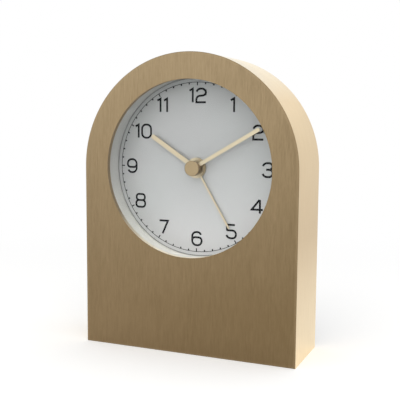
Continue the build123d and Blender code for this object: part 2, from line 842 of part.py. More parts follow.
def build_back_cover():
    """The recessed plastic back, with holes for screws, knobs, switch, sound and battery."""
    cover = slab(arch(band_wall + cover_fit), cover_inner, cover_outer)
    cover = chamfer(cover.faces().sort_by(Axis.Y)[-1].edges(), edge_break)
    for place in case_boss_places():
        cover -= disc(case_screw_radius + screw_hole_play, cover_inner, cover_outer, place)
        cover -= disc(case_screw_head + screw_hole_play, cover_outer - case_screw_seat, cover_outer, place)
    for arbor in (motion_arbor, alarm_arbor):
        cover -= disc(set_arbor_radius + screw_hole_play, cover_inner, cover_outer, arbor)
    cover -= switch_slot(cover_inner, cover_outer)
    cover -= door_opening()
    sounder = (0, buzzer_level - dial_height)
    rib_front = cover_inner - buzzer_rib_height
    rib = disc(buzzer_radius + slip_fit + buzzer_rib_wall, rib_front, cover_inner, sounder)
    cover += rib - disc(buzzer_radius + slip_fit, rib_front, cover_inner, sounder)
    holes = [sounder]
    holes += [polar(sound_hole_pitch, n * 360 / sound_hole_count, sounder) for n in range(sound_hole_count)]
    for hole in holes:
        cover -= disc(sound_hole_radius, cover_inner, cover_outer, hole)
    return cover


def door_opening():
    """The battery door's opening with a blind hole for each of its hinge pins."""
    height = door_top - door_bottom
    cut = block(2 * door_half, height, cover_inner, cover_outer, (0, (door_top + door_bottom) / 2))
    length = 2 * (door_half - door_gap + door_pin_length + door_gap)
    return cut + hinge_rod(door_pin_radius + running_fit, length)


def hinge_rod(radius, length):
    """A rod along the door's hinge axis."""
    spot = Plane(
        origin=(-length / 2, door_pivot_depth, dial_height + door_pivot_level - door_gap),
        z_dir=(1, 0, 0),
    )
    return extrude(spot * Circle(radius), amount=length)


def build_battery_door():
    """The door over the cell, hung on two pins at its rounded top edge."""
    half = door_half - door_gap
    top = door_pivot_level - door_gap
    bottom = door_bottom + door_gap
    door = block(2 * half, top - bottom, door_inner, cover_outer, (0, (top + bottom) / 2))
    door += hinge_rod(door_thickness / 2, 2 * half)
    door += hinge_rod(door_pin_radius, 2 * (half + door_pin_length))
    rib_rear = cover_outer + door_rib_height
    door -= disc(door_notch_radius, door_inner, cover_outer, (0, bottom - door_notch_radius / 2))
    for n in range(door_rib_count):
        place = (0, bottom + door_notch_radius + n * door_rib_pitch)
        door += block(door_rib_length, door_rib_width, cover_outer, rib_rear, place)
    return door


def screw(place, seat, radius, length, head_radius, head_height):
    """A round-headed screw with a slot, its head behind the seat."""
    body = disc(radius, seat - length, seat, place)
    head = disc(head_radius, seat, seat + head_height, place)
    head = fillet(head.faces().sort_by(Axis.Y)[-1].edges(), head_height / 3)
    slot_front = seat + head_height - slot_depth
    slot_length = slot_share * 2 * head_radius
    for width, height in ((slot_length, slot_width), (slot_width, slot_length)):
        head -= block(width, height, slot_front, seat + head_height, place)
    return body + head


def build_case_screws():
    """The four screws of the back cover."""
    seat = cover_outer - case_screw_seat
    shape = (case_screw_radius, case_screw_length, case_screw_head, case_screw_head_height)
    return Compound(children=[screw(place, seat, *shape) for place in case_boss_places()])


def build_movement_screws():
    """The four screws that hold the movement behind the dial."""
    seat = frame_rear + boss_height + ear_thickness
    shape = (movement_screw_radius, movement_screw_length)
    shape += (movement_screw_head, movement_screw_head_height)
    return Compound(children=[screw(place, seat, *shape) for place in ear_places])


def knob(arbor):
    """A fluted knob on the end of a setting arbor."""
    front = cover_outer + knob_gap
    rear = front + knob_height
    body = disc(knob_radius, front, rear, arbor)
    body = chamfer(body.faces().sort_by(Axis.Y)[-1].edges(), 2 * edge_break)
    flute_circle = knob_radius + knob_flute_radius - knob_flute_bite
    for n in range(knob_flutes):
        place = polar(flute_circle, n * 360 / knob_flutes, arbor)
        body -= disc(knob_flute_radius, front, rear, place)
    return body - disc(set_arbor_radius + push_fit, front, front + knob_socket, arbor)


def build_time_knob():
    """The knob that sets the time."""
    return knob(motion_arbor)


def build_alarm_knob():
    """The knob that sets the alarm."""
    return knob(alarm_arbor)


builders = {
    "front_panel": build_front_panel,
    "case_band": build_case_band,
    "lens": build_lens,
    "dial_frame": build_dial_frame,
    "dial_plate": build_dial_plate,
    "stud_clips": build_stud_clips,
    "alarm_hand": build_alarm_hand,
    "hour_hand": build_hour_hand,
    "minute_hand": build_minute_hand,
    "hand_cap": build_hand_cap,
    "cannon_pinion": build_cannon_pinion,
    "clutch_spring": build_clutch_spring,
    "motion_wheel": build_motion_wheel,
    "hour_wheel": build_hour_wheel,
    "alarm_wheel": build_alarm_wheel,
    "alarm_pinion": build_alarm_pinion,
    "centre_wheel": build_centre_wheel,
    "third_wheel": build_third_wheel,
    "fourth_wheel": build_fourth_wheel,
    "fifth_wheel": build_fifth_wheel,
    "rotor": build_rotor,
    "stator": build_stator,
    "coil": build_coil,
    "middle_plate": build_middle_plate,
    "movement_base": build_movement_base,
    "movement_cover": build_movement_cover,
    "circuit_board": build_circuit_board,
    "control_chip": build_control_chip,
    "quartz_crystal": build_quartz_crystal,
    "alarm_contact": build_alarm_contact,
    "alarm_switch": build_alarm_switch,
    "buzzer": build_buzzer,
    "battery": build_battery,
    "contact_positive": build_contact_positive,
    "contact_negative": build_contact_negative,
    "back_cover": build_back_cover,
    "battery_door": build_battery_door,
    "time_knob": build_time_knob,
    "alarm_knob": build_alarm_knob,
    "case_screws": build_case_screws,
    "movement_screws": build_movement_screws,
}

os.makedirs("parts", exist_ok=True)
for name, build in builders.items():
    export_step(build(), f"parts/{name}.step")
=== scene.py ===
"""Dresses an arch-topped gold alarm clock: its finishes, dial print, back signs, studio and camera.

Lengths are in metres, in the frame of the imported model: X to the right as the dial is read, Y from
the front to the back, Z up. Print is drawn in millimetres and scaled by MM.
"""

from __future__ import annotations

import json
import logging
import math
from dataclasses import dataclass, field
from enum import Enum
from functools import cached_property

import bmesh
import bpy
from mathutils import Matrix, Vector

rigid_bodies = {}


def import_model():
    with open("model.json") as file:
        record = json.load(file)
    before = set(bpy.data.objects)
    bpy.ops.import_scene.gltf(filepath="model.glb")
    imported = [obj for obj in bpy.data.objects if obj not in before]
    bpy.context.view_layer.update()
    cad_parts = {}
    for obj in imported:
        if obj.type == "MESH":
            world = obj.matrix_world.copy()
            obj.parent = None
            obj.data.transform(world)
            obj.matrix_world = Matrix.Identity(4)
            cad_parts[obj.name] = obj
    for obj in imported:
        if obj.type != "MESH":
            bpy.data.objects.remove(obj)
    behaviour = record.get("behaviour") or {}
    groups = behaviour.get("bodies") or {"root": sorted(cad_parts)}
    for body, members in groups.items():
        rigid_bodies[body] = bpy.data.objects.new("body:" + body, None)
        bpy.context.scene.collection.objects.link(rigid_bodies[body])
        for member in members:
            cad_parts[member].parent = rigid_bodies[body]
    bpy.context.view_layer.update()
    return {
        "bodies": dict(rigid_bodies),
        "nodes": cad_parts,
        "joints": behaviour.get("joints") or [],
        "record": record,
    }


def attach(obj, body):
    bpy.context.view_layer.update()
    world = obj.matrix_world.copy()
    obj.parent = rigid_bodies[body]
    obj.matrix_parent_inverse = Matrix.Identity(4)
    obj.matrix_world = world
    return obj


log = logging.getLogger("clock")

Colour = tuple[float, float, float]
Point = tuple[float, float]
Corner = tuple[float, float, float]
Shares = tuple[float, float, float]

MM = 0.001
BLACK = (0.0, 0.0, 0.0)
WHITE = (1.0, 1.0, 1.0)
UP = (0.0, 0.0, 1.0)
RIGHT = (1.0, 0.0, 0.0)
SQUARE = ((-1, -1), (1, -1), (1, 1), (-1, 1))
RELIEF_DEPTH = 0.05 * MM
# Nodes are laid out in rows, with a pitch to the right and down.
NODES_IN_ROW = 9
NODE_PITCH = (190, 280)
# Sockets of the Mix node go by index, because several of them share a name.
MIX_VALUES = (2, 3)
MIX_COLOURS = (6, 7)
MIXED_COLOUR = 2
# A rounded corner of the print has steps of at most so many radians, and a ring has steps in degrees.
ARC_STEP = 0.12
ARC_STEPS_LEAST = 3
RING_STEP = 2
# Degrees between two minutes and between two hours of the dial.
MINUTE_TURN = 6.0
HOUR_TURN = 30.0


class Grain(Enum):
    """The way a metal's fine brushing runs, as noise scales per metre along X, Y and Z."""

    UPRIGHT = (1500.0, 1500.0, 150.0)
    ALONG = (70.0, 1100.0, 70.0)
    EVEN = (2600.0, 2600.0, 2600.0)
    WOUND = (2600.0, 300.0, 300.0)


class Drift(Enum):
    """How fast a slow change of tone goes, as noise scales per metre along X, Y and Z."""

    SHEET = (30.0, 30.0, 16.0)
    PATCHES = (170.0, 170.0, 45.0)
    SMALL_METAL = (38.0, 38.0, 24.0)
    MOULDED = (45.0, 45.0, 45.0)
    GLASS = (25.0, 25.0, 25.0)
    WORN = (160.0, 160.0, 160.0)


class Tree:
    """Adds nodes and links to one shader tree."""

    def __init__(self, tree: bpy.types.NodeTree) -> None:
        """Starts on a tree, with its nodes placed in rows from the left."""
        self.tree = tree
        self.count = 0

    def add(self, kind: str, **settings: object) -> bpy.types.Node:
        """Adds a node.

        Args:
            kind: The node's type name, without its "ShaderNode" start.
            settings: Properties to set on the node.

        Returns:
            The new node.
        """
        prefix = "" if kind.startswith("Node") else "ShaderNode"
        node = self.tree.nodes.new(prefix + kind)
        row, column = divmod(self.count, NODES_IN_ROW)
        node.location = (NODE_PITCH[0] * column, -NODE_PITCH[1] * row)
        self.count += 1
        for name, value in settings.items():
            setattr(node, name, value)
        return node

    def link(self, source: bpy.types.NodeSocket, target: bpy.types.NodeSocket) -> None:
        """Links an output to an input."""
        self.tree.links.new(source, target)

    def feed(self, socket: bpy.types.NodeSocket, value: object) -> None:
        """Sets an input to a value, or links it if the value is another node's output.

        Args:
            socket: The input.
            value: A value or an output.
        """
        if isinstance(value, bpy.types.NodeSocket):
            self.link(value, socket)
        else:
            socket.default_value = value

    def maths(self, operation: str, first: object, second: object = 0.0) -> bpy.types.NodeSocket:
        """Works out one value from two.

        Args:
            operation: The name of the operation, such as "MULTIPLY".
            first: A number or an output.
            second: A number or an output.

        Returns:
            The output that holds the result.
        """
        node = self.add("Math", operation=operation)
        self.feed(node.inputs[0], first)
        self.feed(node.inputs[1], second)
        return node.outputs[0]

    def weigh(self, *shares: tuple[bpy.types.NodeSocket, float]) -> bpy.types.NodeSocket:
        """Adds several values, each times its own weight.

        Args:
            shares: Outputs with their weights.

        Returns:
            The output that holds the sum.
        """
        total: bpy.types.NodeSocket | None = None
        for value, weight in shares:
            part = self.maths("MULTIPLY", value, weight)
            total = part if total is None else self.maths("ADD", total, part)
        return total

    def ramp(self, value: object, low: object, high: object, soft: bool = False) -> bpy.types.NodeSocket:
        """Turns a range of a value into 0 to 1.

        Args:
            value: A number or an output.
            low: What becomes 0.
            high: What becomes 1.
            soft: True for a curve that starts and ends gently.

        Returns:
            The output that holds the result.
        """
        kind = "SMOOTHSTEP" if soft else "LINEAR"
        node = self.add("MapRange", clamp=True, interpolation_type=kind)
        self.feed(node.inputs["Value"], value)
        self.feed(node.inputs["From Min"], low)
        self.feed(node.inputs["From Max"], high)
        return node.outputs[0]

    def span(self, value: bpy.types.NodeSocket, low: object, high: object) -> bpy.types.NodeSocket:
        """Spreads a value from 0 to 1 over another range.

        Args:
            value: An output between 0 and 1.
            low: What 0 becomes.
            high: What 1 becomes.

        Returns:
            The output that holds the result.
        """
        node = self.add("MapRange", clamp=True)
        self.link(value, node.inputs["Value"])
        self.feed(node.inputs["To Min"], low)
        self.feed(node.inputs["To Max"], high)
        return node.outputs[0]

    def around(self, value: bpy.types.NodeSocket, middle: float, spread: float) -> bpy.types.NodeSocket:
        """Spreads a value from 0 to 1 evenly about another."""
        return self.span(value, middle - spread, middle + spread)

    def blend(self, share: object, first: object, second: object) -> bpy.types.NodeSocket:
        """Mixes two colours.

        Args:
            share: How much of the second shows, from 0 to 1.
            first: A colour or an output.
            second: A colour or an output.

        Returns:
            The output that holds the mixed colour.
        """
        node = self.add("Mix", data_type="RGBA")
        self.feed(node.inputs[0], share)
        for index, value in zip(MIX_COLOURS, (first, second)):
            self.feed(node.inputs[index], (*value, 1.0) if isinstance(value, tuple) else value)
        return node.outputs[MIXED_COLOUR]

    def between(self, share: object, first: object, second: object) -> bpy.types.NodeSocket:
        """Mixes two values.

        Args:
            share: How much of the second counts, from 0 to 1.
            first: A number or an output.
            second: A number or an output.

        Returns:
            The output that holds the mixed value.
        """
        node = self.add("Mix", data_type="FLOAT")
        self.feed(node.inputs[0], share)
        for index, value in zip(MIX_VALUES, (first, second)):
            self.feed(node.inputs[index], value)
        return node.outputs[0]

    def place(self) -> dict[str, bpy.types.NodeSocket]:
        """Gives the piece's own coordinates, in metres.

        Returns:
            Outputs by axis name.
        """
        split = self.add("SeparateXYZ")
        self.link(self.add("TexCoord").outputs["Object"], split.inputs[0])
        return {axis: split.outputs[axis] for axis in "XYZ"}


@dataclass
class Effects:
    """Shader node groups that several finishes share, each built once."""

    finer: float = 3.1
    line_range: Point = (0.28, 0.72)
    line_detail: float = 3.0
    drift_range: Point = (0.3, 0.7)
    drift_detail: float = 2.0
    skin_detail: float = 4.0
    worn_detail: float = 3.0

    def _start(
        self, name: str, inputs: dict[str, str], outputs: tuple[str, ...]
    ) -> tuple[Tree, bpy.types.Node, bpy.types.Node]:
        """Makes an empty group.

        Args:
            name: The group's name.
            inputs: Socket types by input name.
            outputs: Names of the values that it puts out.

        Returns:
            The group's tree, and the nodes at its two ends.
        """
        group = bpy.data.node_groups.new(name, "ShaderNodeTree")
        for label, kind in inputs.items():
            group.interface.new_socket(label, in_out="INPUT", socket_type=kind)
        for label in outputs:
            group.interface.new_socket(label, in_out="OUTPUT", socket_type="NodeSocketFloat")
        tree = Tree(group)
        return tree, tree.add("NodeGroupInput"), tree.add("NodeGroupOutput")

    def _noise(self, tree: Tree, vector: bpy.types.NodeSocket, detail: float) -> bpy.types.NodeSocket:
        """Adds a noise texture.

        Args:
            tree: The group's tree.
            vector: The place on the surface, which already carries the noise's scale.
            detail: How much finer noise is mixed in.

        Returns:
            The output that holds the noise.
        """
        noise = tree.add("TexNoise")
        tree.link(vector, noise.inputs["Vector"])
        noise.inputs["Scale"].default_value = 1.0
        noise.inputs["Detail"].default_value = detail
        return noise.outputs["Fac"]

    def _stretched(self, tree: Tree, scale: object) -> bpy.types.NodeSocket:
        """Gives the piece's own coordinates, in metres, times a scale for each axis.

        Args:
            tree: The group's tree.
            scale: Three scales, or an output.

        Returns:
            The output that holds the result.
        """
        stretch = tree.add("VectorMath", operation="MULTIPLY")
        tree.link(tree.add("TexCoord").outputs["Object"], stretch.inputs[0])
        tree.feed(stretch.inputs[1], scale)
        return stretch.outputs[0]

    @cached_property
    def brushing(self) -> bpy.types.NodeTree:
        """Fine lines in one direction: Lines is the broad ones and Hair the finest.

        Returns:
            The group.
        """
        tree, start, end = self._start("brushing", {"Scale": "NodeSocketVector"}, ("Lines", "Hair"))
        along = self._stretched(tree, start.outputs["Scale"])
        finer = tree.add("VectorMath", operation="SCALE")
        tree.link(along, finer.inputs[0])
        finer.inputs["Scale"].default_value = self.finer
        for vector, label in ((along, "Lines"), (finer.outputs[0], "Hair")):
            noise = self._noise(tree, vector, self.line_detail)
            tree.link(tree.ramp(noise, *self.line_range), end.inputs[label])
        return tree.tree

    @cached_property
    def drift(self) -> bpy.types.NodeTree:
        """A slow change of tone over a surface, from 0 to 1.

        Returns:
            The group.
        """
        tree, start, end = self._start("drift", {"Scale": "NodeSocketVector"}, ("Tone",))
        noise = self._noise(tree, self._stretched(tree, start.outputs["Scale"]), self.drift_detail)
        tree.link(tree.ramp(noise, *self.drift_range, soft=True), end.inputs["Tone"])
        return tree.tree

    @cached_property
    def moulding(self) -> bpy.types.NodeTree:
        """The fine pebbled skin of a moulded part: Height for bump and Tone for colour.

        Returns:
            The group.
        """
        tree, start, end = self._start("moulding", {"Scale": "NodeSocketVector"}, ("Height", "Tone"))
        vector = self._stretched(tree, start.outputs["Scale"])
        cells = tree.add("TexVoronoi", feature="SMOOTH_F1")
        tree.link(vector, cells.inputs["Vector"])
        cells.inputs["Scale"].default_value = 1.0
        soft = self._noise(tree, vector, self.skin_detail)
        tree.link(tree.maths("MULTIPLY", cells.outputs["Distance"], soft), end.inputs["Height"])
        tree.link(soft, end.inputs["Tone"])
        return tree.tree

    @cached_property
    def rise(self) -> bpy.types.NodeTree:
        """A tone that changes along Axis, from 0 at Low to 1 at High.

        Returns:
            The group.
        """
        inputs = {"Axis": "NodeSocketVector", "Low": "NodeSocketFloat", "High": "NodeSocketFloat"}
        tree, start, end = self._start("rise", inputs, ("Tone",))
        along = tree.add("VectorMath", operation="DOT_PRODUCT")
        tree.link(tree.add("TexCoord").outputs["Object"], along.inputs[0])
        tree.link(start.outputs["Axis"], along.inputs[1])
        tone = tree.ramp(along.outputs["Value"], start.outputs["Low"], start.outputs["High"])
        tree.link(tone, end.inputs["Tone"])
        return tree.tree

    @cached_property
    def edge(self) -> bpy.types.NodeTree:
        """Wear along an arch's outline: Reach is its half width, Level its centre, Width the worn strip.

        Returns:
            The group.
        """
        labels = ("Reach", "Level", "Width")
        tree, start, end = self._start("edge", dict.fromkeys(labels, "NodeSocketFloat"), ("Wear",))
        reach, level, width = (start.outputs[label] for label in labels)
        place = tree.place()
        above = tree.maths("MAXIMUM", tree.maths("SUBTRACT", place["Z"], level), 0.0)
        squares = [tree.maths("MULTIPLY", value, value) for value in (place["X"], above)]
        out = tree.maths("SQRT", tree.maths("ADD", *squares))
        round_side = tree.ramp(out, tree.maths("SUBTRACT", reach, width), reach, soft=True)
        foot = tree.ramp(place["Z"], width, 0.0, soft=True)
        patches = self._noise(tree, self._stretched(tree, Drift.WORN.value), self.worn_detail)
        strip = tree.maths("MAXIMUM", round_side, foot)
        tree.link(tree.maths("MULTIPLY", strip, patches), end.inputs["Wear"])
        return tree.tree

    def put(self, tree: Tree, group: bpy.types.NodeTree, values: dict[str, object]) -> bpy.types.Node:
        """Puts a group into a material.

        Args:
            tree: The material's tree.
            group: The group.
            values: What its inputs are set to, by name.

        Returns:
            The group node.
        """
        node = tree.add("Group")
        node.node_tree = group
        for label, value in values.items():
            node.inputs[label].default_value = value
        return node


def new_material(name: str) -> tuple[bpy.types.Material, Tree, bpy.types.Node]:
    """Makes a material that holds one Principled shader.

    Args:
        name: The material's name.

    Returns:
        The material, its tree and its Principled shader.
    """
    material = bpy.data.materials.new(name)
    material.use_nodes = True
    tree = Tree(material.node_tree)
    shader = material.node_tree.nodes["Principled BSDF"]
    return material, tree, shader


def add_relief(tree: Tree, shader: bpy.types.Node, height: bpy.types.NodeSocket, strength: float) -> None:
    """Raises a shader's surface a little.

    Args:
        tree: The material's tree.
        shader: The shader.
        height: The output that holds the height.
        strength: How strongly it shows, from 0 to 1.
    """
    relief = tree.add("Bump")
    relief.inputs["Strength"].default_value = strength
    relief.inputs["Distance"].default_value = RELIEF_DEPTH
    tree.link(height, relief.inputs["Height"])
    tree.link(relief.outputs[0], shader.inputs["Normal"])


def facing_front(tree: Tree) -> bpy.types.NodeSocket:
    """Tells how far a surface faces the front.

    Args:
        tree: The material's tree.

    Returns:
        The output that holds it, from -1 to 1.
    """
    split = tree.add("SeparateXYZ")
    tree.link(tree.add("TexCoord").outputs["Normal"], split.inputs[0])
    return tree.maths("MULTIPLY", split.outputs["Y"], -1.0)


@dataclass(frozen=True)
class MetalFinish:
    """A metal with fine brushing in one direction, and a darker tone of painted shade on its sides if it
    has a rim.
    """

    name: str
    tone: Colour
    deep: Colour
    roughness: float
    grain: Grain = Grain.EVEN
    contrast: float = 0.5
    spread: float = 0.08
    bump: float = 0.02
    # rim is a painted shade for the sides that turn away from the front.
    rim: Colour | None = None
    rim_facing: Point = (0.45, 0.9)

    def make(self, effects: Effects) -> bpy.types.Material:
        """Builds the material.

        Args:
            effects: The shared node groups.

        Returns:
            The material.
        """
        material, tree, shader = new_material(self.name)
        lines = effects.put(tree, effects.brushing, {"Scale": self.grain.value})
        drift = effects.put(tree, effects.drift, {"Scale": Drift.SMALL_METAL.value})
        share = tree.weigh(
            (lines.outputs["Lines"], 0.5 * self.contrast),
            (lines.outputs["Hair"], 0.5 * self.contrast),
            (drift.outputs["Tone"], 0.5 * (1.0 - self.contrast)),
        )
        colour = tree.blend(share, self.tone, self.deep)
        # Painted shade on the sides that turn away from the front.
        if self.rim is not None:
            ahead = tree.ramp(facing_front(tree), *self.rim_facing)
            colour = tree.blend(ahead, self.rim, colour)
        tree.link(colour, shader.inputs["Base Color"])
        rough = tree.around(lines.outputs["Lines"], self.roughness, self.spread)
        tree.link(rough, shader.inputs["Roughness"])
        add_relief(tree, shader, lines.outputs["Hair"], self.bump)
        shader.inputs["Metallic"].default_value = 1.0
        return material


@dataclass(frozen=True)
class CaseFinish:
    """The case's gold: brushed upright on the front, satin round the sides, dull in the window's wall, with
    painted highlights, shade and reflections in its tones.
    """

    name: str
    # The front's tones are painted light: the top tones a painted highlight, the foot tones painted shade.
    top_tone: Colour
    top_deep: Colour
    foot_tone: Colour
    foot_deep: Colour
    side_tone: Colour
    side_deep: Colour
    # The sides' foot, shoulder and crown tones are painted reflections.
    side_foot: Colour
    side_shoulder: Colour
    side_crown: Colour
    # The window's wall: painted shade high up, a painted highlight at its foot.
    wall_tone: Colour
    wall_foot: Colour
    # The chamfers between the front and the sides are painted in shade.
    bevel_tone: Colour
    worn_tone: Colour
    front_roughness: float = 0.44
    front_spread: float = 0.07
    side_roughness: float = 0.32
    side_spread: float = 0.02
    wall_roughness: float = 0.5
    wall_metal: float = 0.15
    anisotropy: float = 0.5
    bump: float = 0.03
    front_facing: Point = (0.88, 0.97)
    bevel_facing: Point = (0.3, 0.5)
    front_shares: Shares = (0.3, 0.26, 0.2)
    side_shares: Shares = (0.14, 0.1, 0.06)
    patch_strength: Point = (0.55, 1.45)
    # How much painted shade darkens the front towards the right.
    lean: Point = (0.0, 0.54)
    worn_share: float = 0.5
    # Heights over which the front's painted light goes from shade at the foot to a highlight at the top.
    front_rise: Point = (25.0 * MM, 140.0 * MM)
    # Heights of the sides' painted reflections at the foot, the shoulders and the crown.
    side_rise: Point = (4.0 * MM, 60.0 * MM)
    shoulder_rise: Point = (66.0 * MM, 112.0 * MM)
    crown_rise: Point = (126.0 * MM, 149.0 * MM)
    # Heights over which the wall goes from its painted highlight to its painted shade.
    wall_rise: Point = (52.0 * MM, 70.0 * MM)
    half_width: float = 57.0 * MM
    centre: float = 93.0 * MM
    wall_reach: float = 46.0 * MM
    worn_width: float = 1.6 * MM

    def _wall(self, tree: Tree) -> bpy.types.NodeSocket:
        """Tells where the surface lies within the window.

        Args:
            tree: The material's tree.

        Returns:
            The output that holds it, as 0 or 1.
        """
        place = tree.place()
        up = tree.maths("SUBTRACT", place["Z"], self.centre)
        squares = [tree.maths("MULTIPLY", value, value) for value in (place["X"], up)]
        return tree.maths("LESS_THAN", tree.maths("ADD", *squares), self.wall_reach**2)

    def _climb(
        self, tree: Tree, effects: Effects, levels: Point, low: object, high: object
    ) -> bpy.types.NodeSocket:
        """Fades from one colour to another with height.

        Args:
            tree: The material's tree.
            effects: The shared node groups.
            levels: The heights where the fade starts and ends.
            low: The lower colour, or an output.
            high: The upper colour, or an output.

        Returns:
            The output that holds the colour.
        """
        rise = effects.put(tree, effects.rise, {"Axis": UP, "Low": levels[0], "High": levels[1]})
        return tree.blend(rise.outputs["Tone"], low, high)

    def _front_gold(
        self, tree: Tree, effects: Effects, lines: bpy.types.Node, slow: bpy.types.NodeSocket
    ) -> bpy.types.NodeSocket:
        """Colours the front, with streaks of uneven strength, painted shade towards the right and the foot,
        a painted highlight towards the top, and a worn rim.

        Args:
            tree: The material's tree.
            effects: The shared node groups.
            lines: The group node of the upright brushing.
            slow: The output of a slow change of tone.

        Returns:
            The output that holds the colour.
        """
        patches = effects.put(tree, effects.drift, {"Scale": Drift.PATCHES.value})
        strength = tree.span(patches.outputs["Tone"], *self.patch_strength)
        about = tree.maths("SUBTRACT", lines.outputs["Lines"], 0.5)
        patchy = tree.maths("MULTIPLY", about, strength)
        brushed = tree.weigh(*zip((patchy, lines.outputs["Hair"], slow), self.front_shares))
        # Painted shade across the front, darker towards the right.
        width = {"Axis": RIGHT, "Low": -self.half_width, "High": self.half_width}
        across = effects.put(tree, effects.rise, width).outputs["Tone"]
        streaks = tree.maths("ADD", brushed, tree.span(across, *self.lean))
        # Painted light: the front's colour is lighter towards the top and darker towards the foot.
        light = self._climb(tree, effects, self.front_rise, self.foot_tone, self.top_tone)
        dark = self._climb(tree, effects, self.front_rise, self.foot_deep, self.top_deep)
        outline = {"Reach": self.half_width, "Level": self.centre, "Width": self.worn_width}
        wear = effects.put(tree, effects.edge, outline).outputs["Wear"]
        worn = tree.maths("MULTIPLY", wear, self.worn_share)
        return tree.blend(worn, tree.blend(streaks, light, dark), self.worn_tone)

    def _side_gold(
        self, tree: Tree, effects: Effects, lines: bpy.types.Node, slow: bpy.types.NodeSocket
    ) -> bpy.types.NodeSocket:
        """Colours the sides with painted reflections, which make them paler to the foot, the shoulders and
        the crown.

        Args:
            tree: The material's tree.
            effects: The shared node groups.
            lines: The group node of the brushing along the sides.
            slow: The output of a slow change of tone.

        Returns:
            The output that holds the colour.
        """
        # Painted reflections: paler towards the foot, the shoulders and the crown.
        pale = self._climb(tree, effects, self.side_rise, self.side_foot, self.side_tone)
        pale = self._climb(tree, effects, self.shoulder_rise, pale, self.side_shoulder)
        pale = self._climb(tree, effects, self.crown_rise, pale, self.side_crown)
        parts = (lines.outputs["Lines"], lines.outputs["Hair"], slow)
        return tree.blend(tree.weigh(*zip(parts, self.side_shares)), pale, self.side_deep)

    def make(self, effects: Effects) -> bpy.types.Material:
        """Builds the material.

        Args:
            effects: The shared node groups.

        Returns:
            The material.
        """
        material, tree, shader = new_material(self.name)
        upright = effects.put(tree, effects.brushing, {"Scale": Grain.UPRIGHT.value})
        along = effects.put(tree, effects.brushing, {"Scale": Grain.ALONG.value})
        slow = effects.put(tree, effects.drift, {"Scale": Drift.SHEET.value}).outputs["Tone"]
        facing = facing_front(tree)
        front = tree.ramp(facing, *self.front_facing)
        bevel = tree.ramp(facing, *self.bevel_facing)
        wall = self._wall(tree)
        # Painted light in the window's wall: a highlight at its foot, shade higher up.
        wall_painted_light = self._climb(tree, effects, self.wall_rise, self.wall_foot, self.wall_tone)
        # The chamfers take painted shade.
        sides = tree.blend(bevel, self._side_gold(tree, effects, along, slow), self.bevel_tone)
        sides = tree.blend(wall, sides, wall_painted_light)
        gold = self._front_gold(tree, effects, upright, slow)
        tree.link(tree.blend(front, sides, gold), shader.inputs["Base Color"])
        rough = tree.around(upright.outputs["Lines"], self.front_roughness, self.front_spread)
        smooth = tree.around(along.outputs["Lines"], self.side_roughness, self.side_spread)
        beside = tree.between(wall, smooth, self.wall_roughness)
        tree.link(tree.between(front, beside, rough), shader.inputs["Roughness"])
        add_relief(tree, shader, tree.maths("MULTIPLY", upright.outputs["Hair"], front), self.bump)
        inside = tree.maths("MULTIPLY", wall, tree.maths("SUBTRACT", 1.0, front))
        tree.link(tree.between(inside, 1.0, self.wall_metal), shader.inputs["Metallic"])
        shader.inputs["Anisotropic"].default_value = self.anisotropy
        return material


@dataclass(frozen=True)
class Lift:
    """Painted light: a paler tone low on a piece, which fades out with height, leaving the upper part in
    painted shade.
    """

    tone: Colour
    low: float
    high: float


@dataclass(frozen=True)
class Rubbed:
    """A paler tone where an arch-shaped cover is rubbed along its outline."""

    tone: Colour
    reach: float
    level: float
    width: float


@dataclass(frozen=True)
class PlasticFinish:
    """A moulded plastic, paint, ink or resin with a fine skin."""

    name: str
    tone: Colour
    shade: Colour
    roughness: float
    skin: float = 2500.0
    bump: float = 0.1
    metallic: float = 0.0
    coat: float = 0.0
    shine: float = 0.5
    spread: float = 0.06
    # Painted light low on the piece.
    lift: Lift | None = None
    rubbed: Rubbed | None = None

    def make(self, effects: Effects) -> bpy.types.Material:
        """Builds the material.

        Args:
            effects: The shared node groups.

        Returns:
            The material.
        """
        material, tree, shader = new_material(self.name)
        skin = effects.put(tree, effects.moulding, {"Scale": (self.skin,) * 3})
        drift = effects.put(tree, effects.drift, {"Scale": Drift.MOULDED.value})
        share = tree.weigh((skin.outputs["Tone"], 0.5), (drift.outputs["Tone"], 0.5))
        colour = tree.blend(share, self.tone, self.shade)
        # Painted light low on the piece, painted shade higher up.
        if self.lift is not None:
            levels = {"Axis": UP, "Low": self.lift.low, "High": self.lift.high}
            rise = effects.put(tree, effects.rise, levels)
            colour = tree.blend(rise.outputs["Tone"], self.lift.tone, colour)
        if self.rubbed is not None:
            outline = {"Reach": self.rubbed.reach, "Level": self.rubbed.level, "Width": self.rubbed.width}
            wear = effects.put(tree, effects.edge, outline)
            colour = tree.blend(wear.outputs["Wear"], colour, self.rubbed.tone)
        tree.link(colour, shader.inputs["Base Color"])
        rough = tree.around(skin.outputs["Tone"], self.roughness, self.spread)
        tree.link(rough, shader.inputs["Roughness"])
        add_relief(tree, shader, skin.outputs["Height"], self.bump)
        shader.inputs["Metallic"].default_value = self.metallic
        shader.inputs["Coat Weight"].default_value = self.coat
        shader.inputs["Specular IOR Level"].default_value = self.shine
        return material


